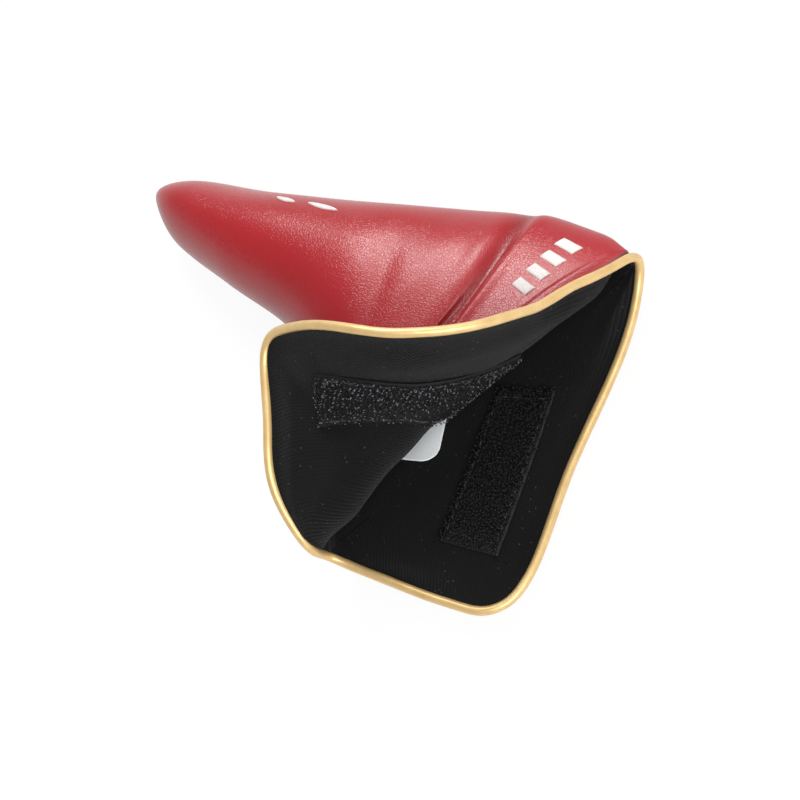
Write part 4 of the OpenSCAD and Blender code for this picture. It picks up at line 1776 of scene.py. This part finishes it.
@dataclass
class Embroidery:
    """Raised satin-stitch shapes on the front leather: rows of close threads over a padded core."""

    panel: Panel
    wall: PaddedWall
    thread: float = 0.42
    sunk: float = 0.1
    core: float = 0.42
    ridge: float = 0.2
    bars: int = 4
    bar_from: float = 0.07
    bar_height: float = 0.03
    bar_pitch: float = 0.05
    bar_ends: tuple[float, float] = (0.045, 0.095)
    bar_slant: float = 0.16
    dart_ends: tuple[tuple[float, float], ...] = ((0.50, 0.56), (0.58, 0.62))
    dart_sides: tuple[float, float, float, float] = (0.225, 0.2075, 0.1725, 0.19)

    def patch(self, corners: Array, pointed: bool) -> tuple[Array, Array, Array]:
        """Lower points, upper points and pattern of a four-cornered patch given in shares (t, u).

        Args:
            corners: the four corners, the second and third at the far end.
            pointed: narrow the patch to both ends by sin^0.8, as a leaf.

        Returns:
            Points on the leather, points on the threads, and millimetres along and across.
        """
        a, b, c, d = np.asarray(corners, float)
        length = 0.5 * (self.apart(a, b) + self.apart(c, d))
        width = 0.5 * (self.apart(a, d) + self.apart(b, c))
        rows, cols = max(int(length / self.thread) * 6, 12), 14
        k, m = np.meshgrid(np.linspace(0, 1, rows), np.linspace(0, 1, cols), indexing="ij")
        k3, m3 = k[..., None], m[..., None]
        if pointed:
            m3 = 0.5 + (m3 - 0.5) * np.maximum(np.sin(math.pi * k3), 0.02) ** 0.8
        share = (1 - m3) * ((1 - k3) * a + k3 * b) + m3 * ((1 - k3) * d + k3 * c)
        points = self.wall.skin_at(share[..., 0], share[..., 1])
        normal = self.panel.pocket_normal(share[..., 0], share[..., 1])
        ridge = np.abs(np.sin(k * length / self.thread * math.pi))
        dome = np.sqrt(np.maximum(1 - (2 * m - 1) ** 4, 0)) * np.sqrt(np.maximum(1 - (2 * k - 1) ** 10, 0))
        lift = self.sunk + dome * (self.core + self.ridge * ridge)
        pattern = np.stack([k * length, m * width], -1)
        return points, points + normal * lift[..., None], pattern

    def apart(self, here: Array, there: Array) -> float:
        """Distance between two places (t, u) of the front."""
        a, b = (self.panel.pocket_point(share[:1], share[1:])[0] for share in (here, there))
        return np.linalg.norm(a - b)

    def shapes(self, name: str, patches: list[Array], pointed: bool) -> Piece:
        """Joins several patches into one object, squared or pointed at their ends.

        Args:
            name: name of the piece.
            patches: corners of each patch in shares (t, u).
            pointed: whether the patches narrow to both ends.

        Returns:
            The new piece.
        """
        verts, faces, uvs, base = [], [], [], 0
        for corners in patches:
            low, top, pattern = self.patch(corners, pointed)
            faces.append(slab_faces(*low.shape[:2]) + base)
            verts += [top.reshape(-1, 3), low.reshape(-1, 3)]
            uvs += [pattern.reshape(-1, 2)] * 2
            base += 2 * pattern.shape[0] * pattern.shape[1]
        return new_mesh(name, np.concatenate(verts), np.concatenate(faces), np.concatenate(uvs))

    def build(self, finishes: Materials) -> list[Piece]:
        """Makes the heel bars and the two darts along the sole side.

        Args:
            finishes: the cover's materials, by their names in Finishes.

        Returns:
            The new pieces.
        """
        bars = []
        for k in range(self.bars):
            u0 = self.bar_from + self.bar_pitch * k
            u1 = u0 + self.bar_height
            t0, t1 = (end - self.bar_slant * self.bar_pitch * k for end in self.bar_ends)
            bars.append(np.array([(t0, u1), (t1, u1), (t1, u0), (t0, u0)]))
        darts = [np.array(list(zip((a, b, b, a), self.dart_sides))) for a, b in self.dart_ends]
        heel = self.shapes("heel_satin_bars", bars, False)
        sole = self.shapes("sole_satin_darts", darts, True)
        for piece, node in ((heel, "heel_embroidery"), (sole, "sole_embroidery")):
            wear(piece, finishes["white_thread"])
            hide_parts(node)
            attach(piece, "pocket")
        return [heel, sole]


# ---------------------------------------------------------------- studio


@dataclass(frozen=True)
class Lamp:
    """A square soft lamp: its offset from the target to the camera's right, up and back, size and power."""

    name: str
    offset: tuple[float, float, float]
    size: float
    power: float


@dataclass
class Studio:
    """Pale floor, soft lamps and the camera."""

    target: tuple[float, float, float] = (45.0, -30.0, 22.0)
    azimuth: float = 64.0
    elevation: float = 55.0
    roll: float = 48.0
    distance: float = 550.0
    lens: float = 82.7
    shift: tuple[float, float] = (-0.01925, -0.0255)
    lamps: tuple[Lamp, ...] = (
        Lamp("key", (-290.0, 620.0, 220.0), 290.0, 3.5),
        Lamp("front", (90.0, -100.0, 700.0), 480.0, 5.4),
        Lamp("top", (-60.0, 600.0, 430.0), 480.0, 1.6),
    )
    world_light: float = 0.24
    floor_flat: float = 2200.0
    floor_sweep: float = 800.0
    floor_gap: float = 0.05
    floor_white: float = 0.93

    def axes(self) -> tuple[Array, Array, Array]:
        """Camera's right, up and back directions: the level pair turned by the roll about the back.

        Returns:
            The three directions as unit vectors.
        """
        a, e, r = (math.radians(v) for v in (self.azimuth, self.elevation, self.roll))
        back = np.array([math.sin(a) * math.cos(e), -math.cos(a) * math.cos(e), math.sin(e)])
        right = np.array([math.cos(a), math.sin(a), 0.0])
        up = np.cross(back, right)
        return right * math.cos(r) - up * math.sin(r), right * math.sin(r) + up * math.cos(r), back

    def camera(self) -> Piece:
        """Makes the scene's camera.

        Returns:
            The camera.
        """
        right, up, back = self.axes()
        data = bpy.data.cameras.new("camera")
        data.sensor_width, data.lens = 36.0, self.lens
        data.shift_x, data.shift_y = self.shift
        data.clip_start, data.clip_end = 0.01, 20.0
        camera = bpy.data.objects.new("camera", data)
        bpy.context.collection.objects.link(camera)
        place = (np.array(self.target) + back * self.distance) * MM
        rows = [(right[k], up[k], back[k], place[k]) for k in range(3)]
        camera.matrix_world = Matrix([*rows, (0, 0, 0, 1)])
        bpy.context.scene.camera = camera
        return camera

    def lights(self) -> None:
        """Key low over the sole side, broad lamps beside and above the camera, and an even pale world."""
        for lamp in self.lamps:
            offset = np.array(lamp.offset) @ np.array(self.axes())
            data = bpy.data.lights.new(lamp.name, "AREA")
            data.shape, data.size, data.energy = "SQUARE", lamp.size * MM, lamp.power
            light = bpy.data.objects.new(lamp.name, data)
            bpy.context.collection.objects.link(light)
            light.location = (np.array(self.target) + offset) * MM
            light.rotation_euler = Vector(offset).to_track_quat("Z", "Y").to_euler()
        world = bpy.data.worlds.new("studio")
        world.use_nodes = True
        sky = world.node_tree.nodes["Background"]
        connect(world.node_tree, sky, {"Color": (1, 1, 1, 1), "Strength": self.world_light})
        bpy.context.scene.world = world

    def floor(self) -> Piece:
        """Pale round floor that sweeps up at its rim, shows white to the camera and keeps a faint shadow.

        Its profile is flat out to 2.2 m, then nearly a quarter arc of 0.8 m: distance 2200 + 800 sin a and
        height 800 (1 - cos a).

        Returns:
            The floor.
        """
        bend = np.linspace(0, math.radians(85), 14)
        flat = np.linspace(0.1, self.floor_flat - 100.0, 6)
        far = np.concatenate([flat, self.floor_flat + self.floor_sweep * np.sin(bend)])
        high = np.concatenate([0 * flat, self.floor_sweep * (1 - np.cos(bend))]) - self.floor_gap
        turn = np.linspace(0, 2 * math.pi, 65)
        far, high = far[:, None], high[:, None]
        points = np.stack([far * np.cos(turn), far * np.sin(turn), high + 0 * turn], -1)
        floor = sheet_mesh("floor", Surface(points, points[..., :2]), flip=True)
        material = bpy.data.materials.new("white_paper_sweep")
        material.use_nodes = True
        tree = material.node_tree
        tree.nodes.remove(tree.nodes["Principled BSDF"])
        add = partial(add_node, tree)
        paper = add("BsdfDiffuse", {"Color": (0.9, 0.9, 0.9, 1)})
        glow = add("Emission", {"Color": (1, 1, 1, 1), "Strength": 1.0})
        ray = add("LightPath").outputs
        seen = add("Math", {0: ray["Is Camera Ray"], 1: ray["Is Glossy Ray"]}, operation="MAXIMUM")
        share = add("Math", {0: seen, 1: self.floor_white}, operation="MULTIPLY")
        mix = add("MixShader", {0: share, 1: paper, 2: glow})
        connect(tree, tree.nodes["Material Output"], {"Surface": mix})
        floor.data.materials.append(material)
        floor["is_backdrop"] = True
        return floor


def corners() -> list[list[float]]:
    """Lowest and highest corner of what is shown, as plain lists."""
    return [list(corner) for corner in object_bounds()]


def main() -> None:
    """Builds the cover around the frame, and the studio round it."""
    logging.basicConfig(level=logging.INFO, format="%(name)s: %(message)s")
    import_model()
    studio = Studio()
    studio.camera()
    studio.lights()
    studio.floor()
    bpy.context.scene.view_settings.view_transform = "Standard"
    sizes = CoverSizes()
    front, back = Panel(sizes, Side.FRONT), Panel(sizes, Side.BACK)
    front.know_flap(front)
    back.know_flap(front)
    finishes = {key: getattr(Finishes(), key).make() for key in Finishes.__dataclass_fields__}
    piping = Piping(front, back)
    loop = piping.loop()
    walls = [PaddedWall(panel, loop[panel.side]) for panel in (front, back)]
    assemblies = [*walls, piping, Tape(front), Tape(back), CareLabel(back), Embroidery(front, walls[0])]
    for assembly in assemblies:
        for piece in assembly.build(finishes):
            log.info("%s: %s, %d faces", type(assembly).__name__, piece.name, len(piece.data.polygons))


if __name__ == "__main__":
    main()
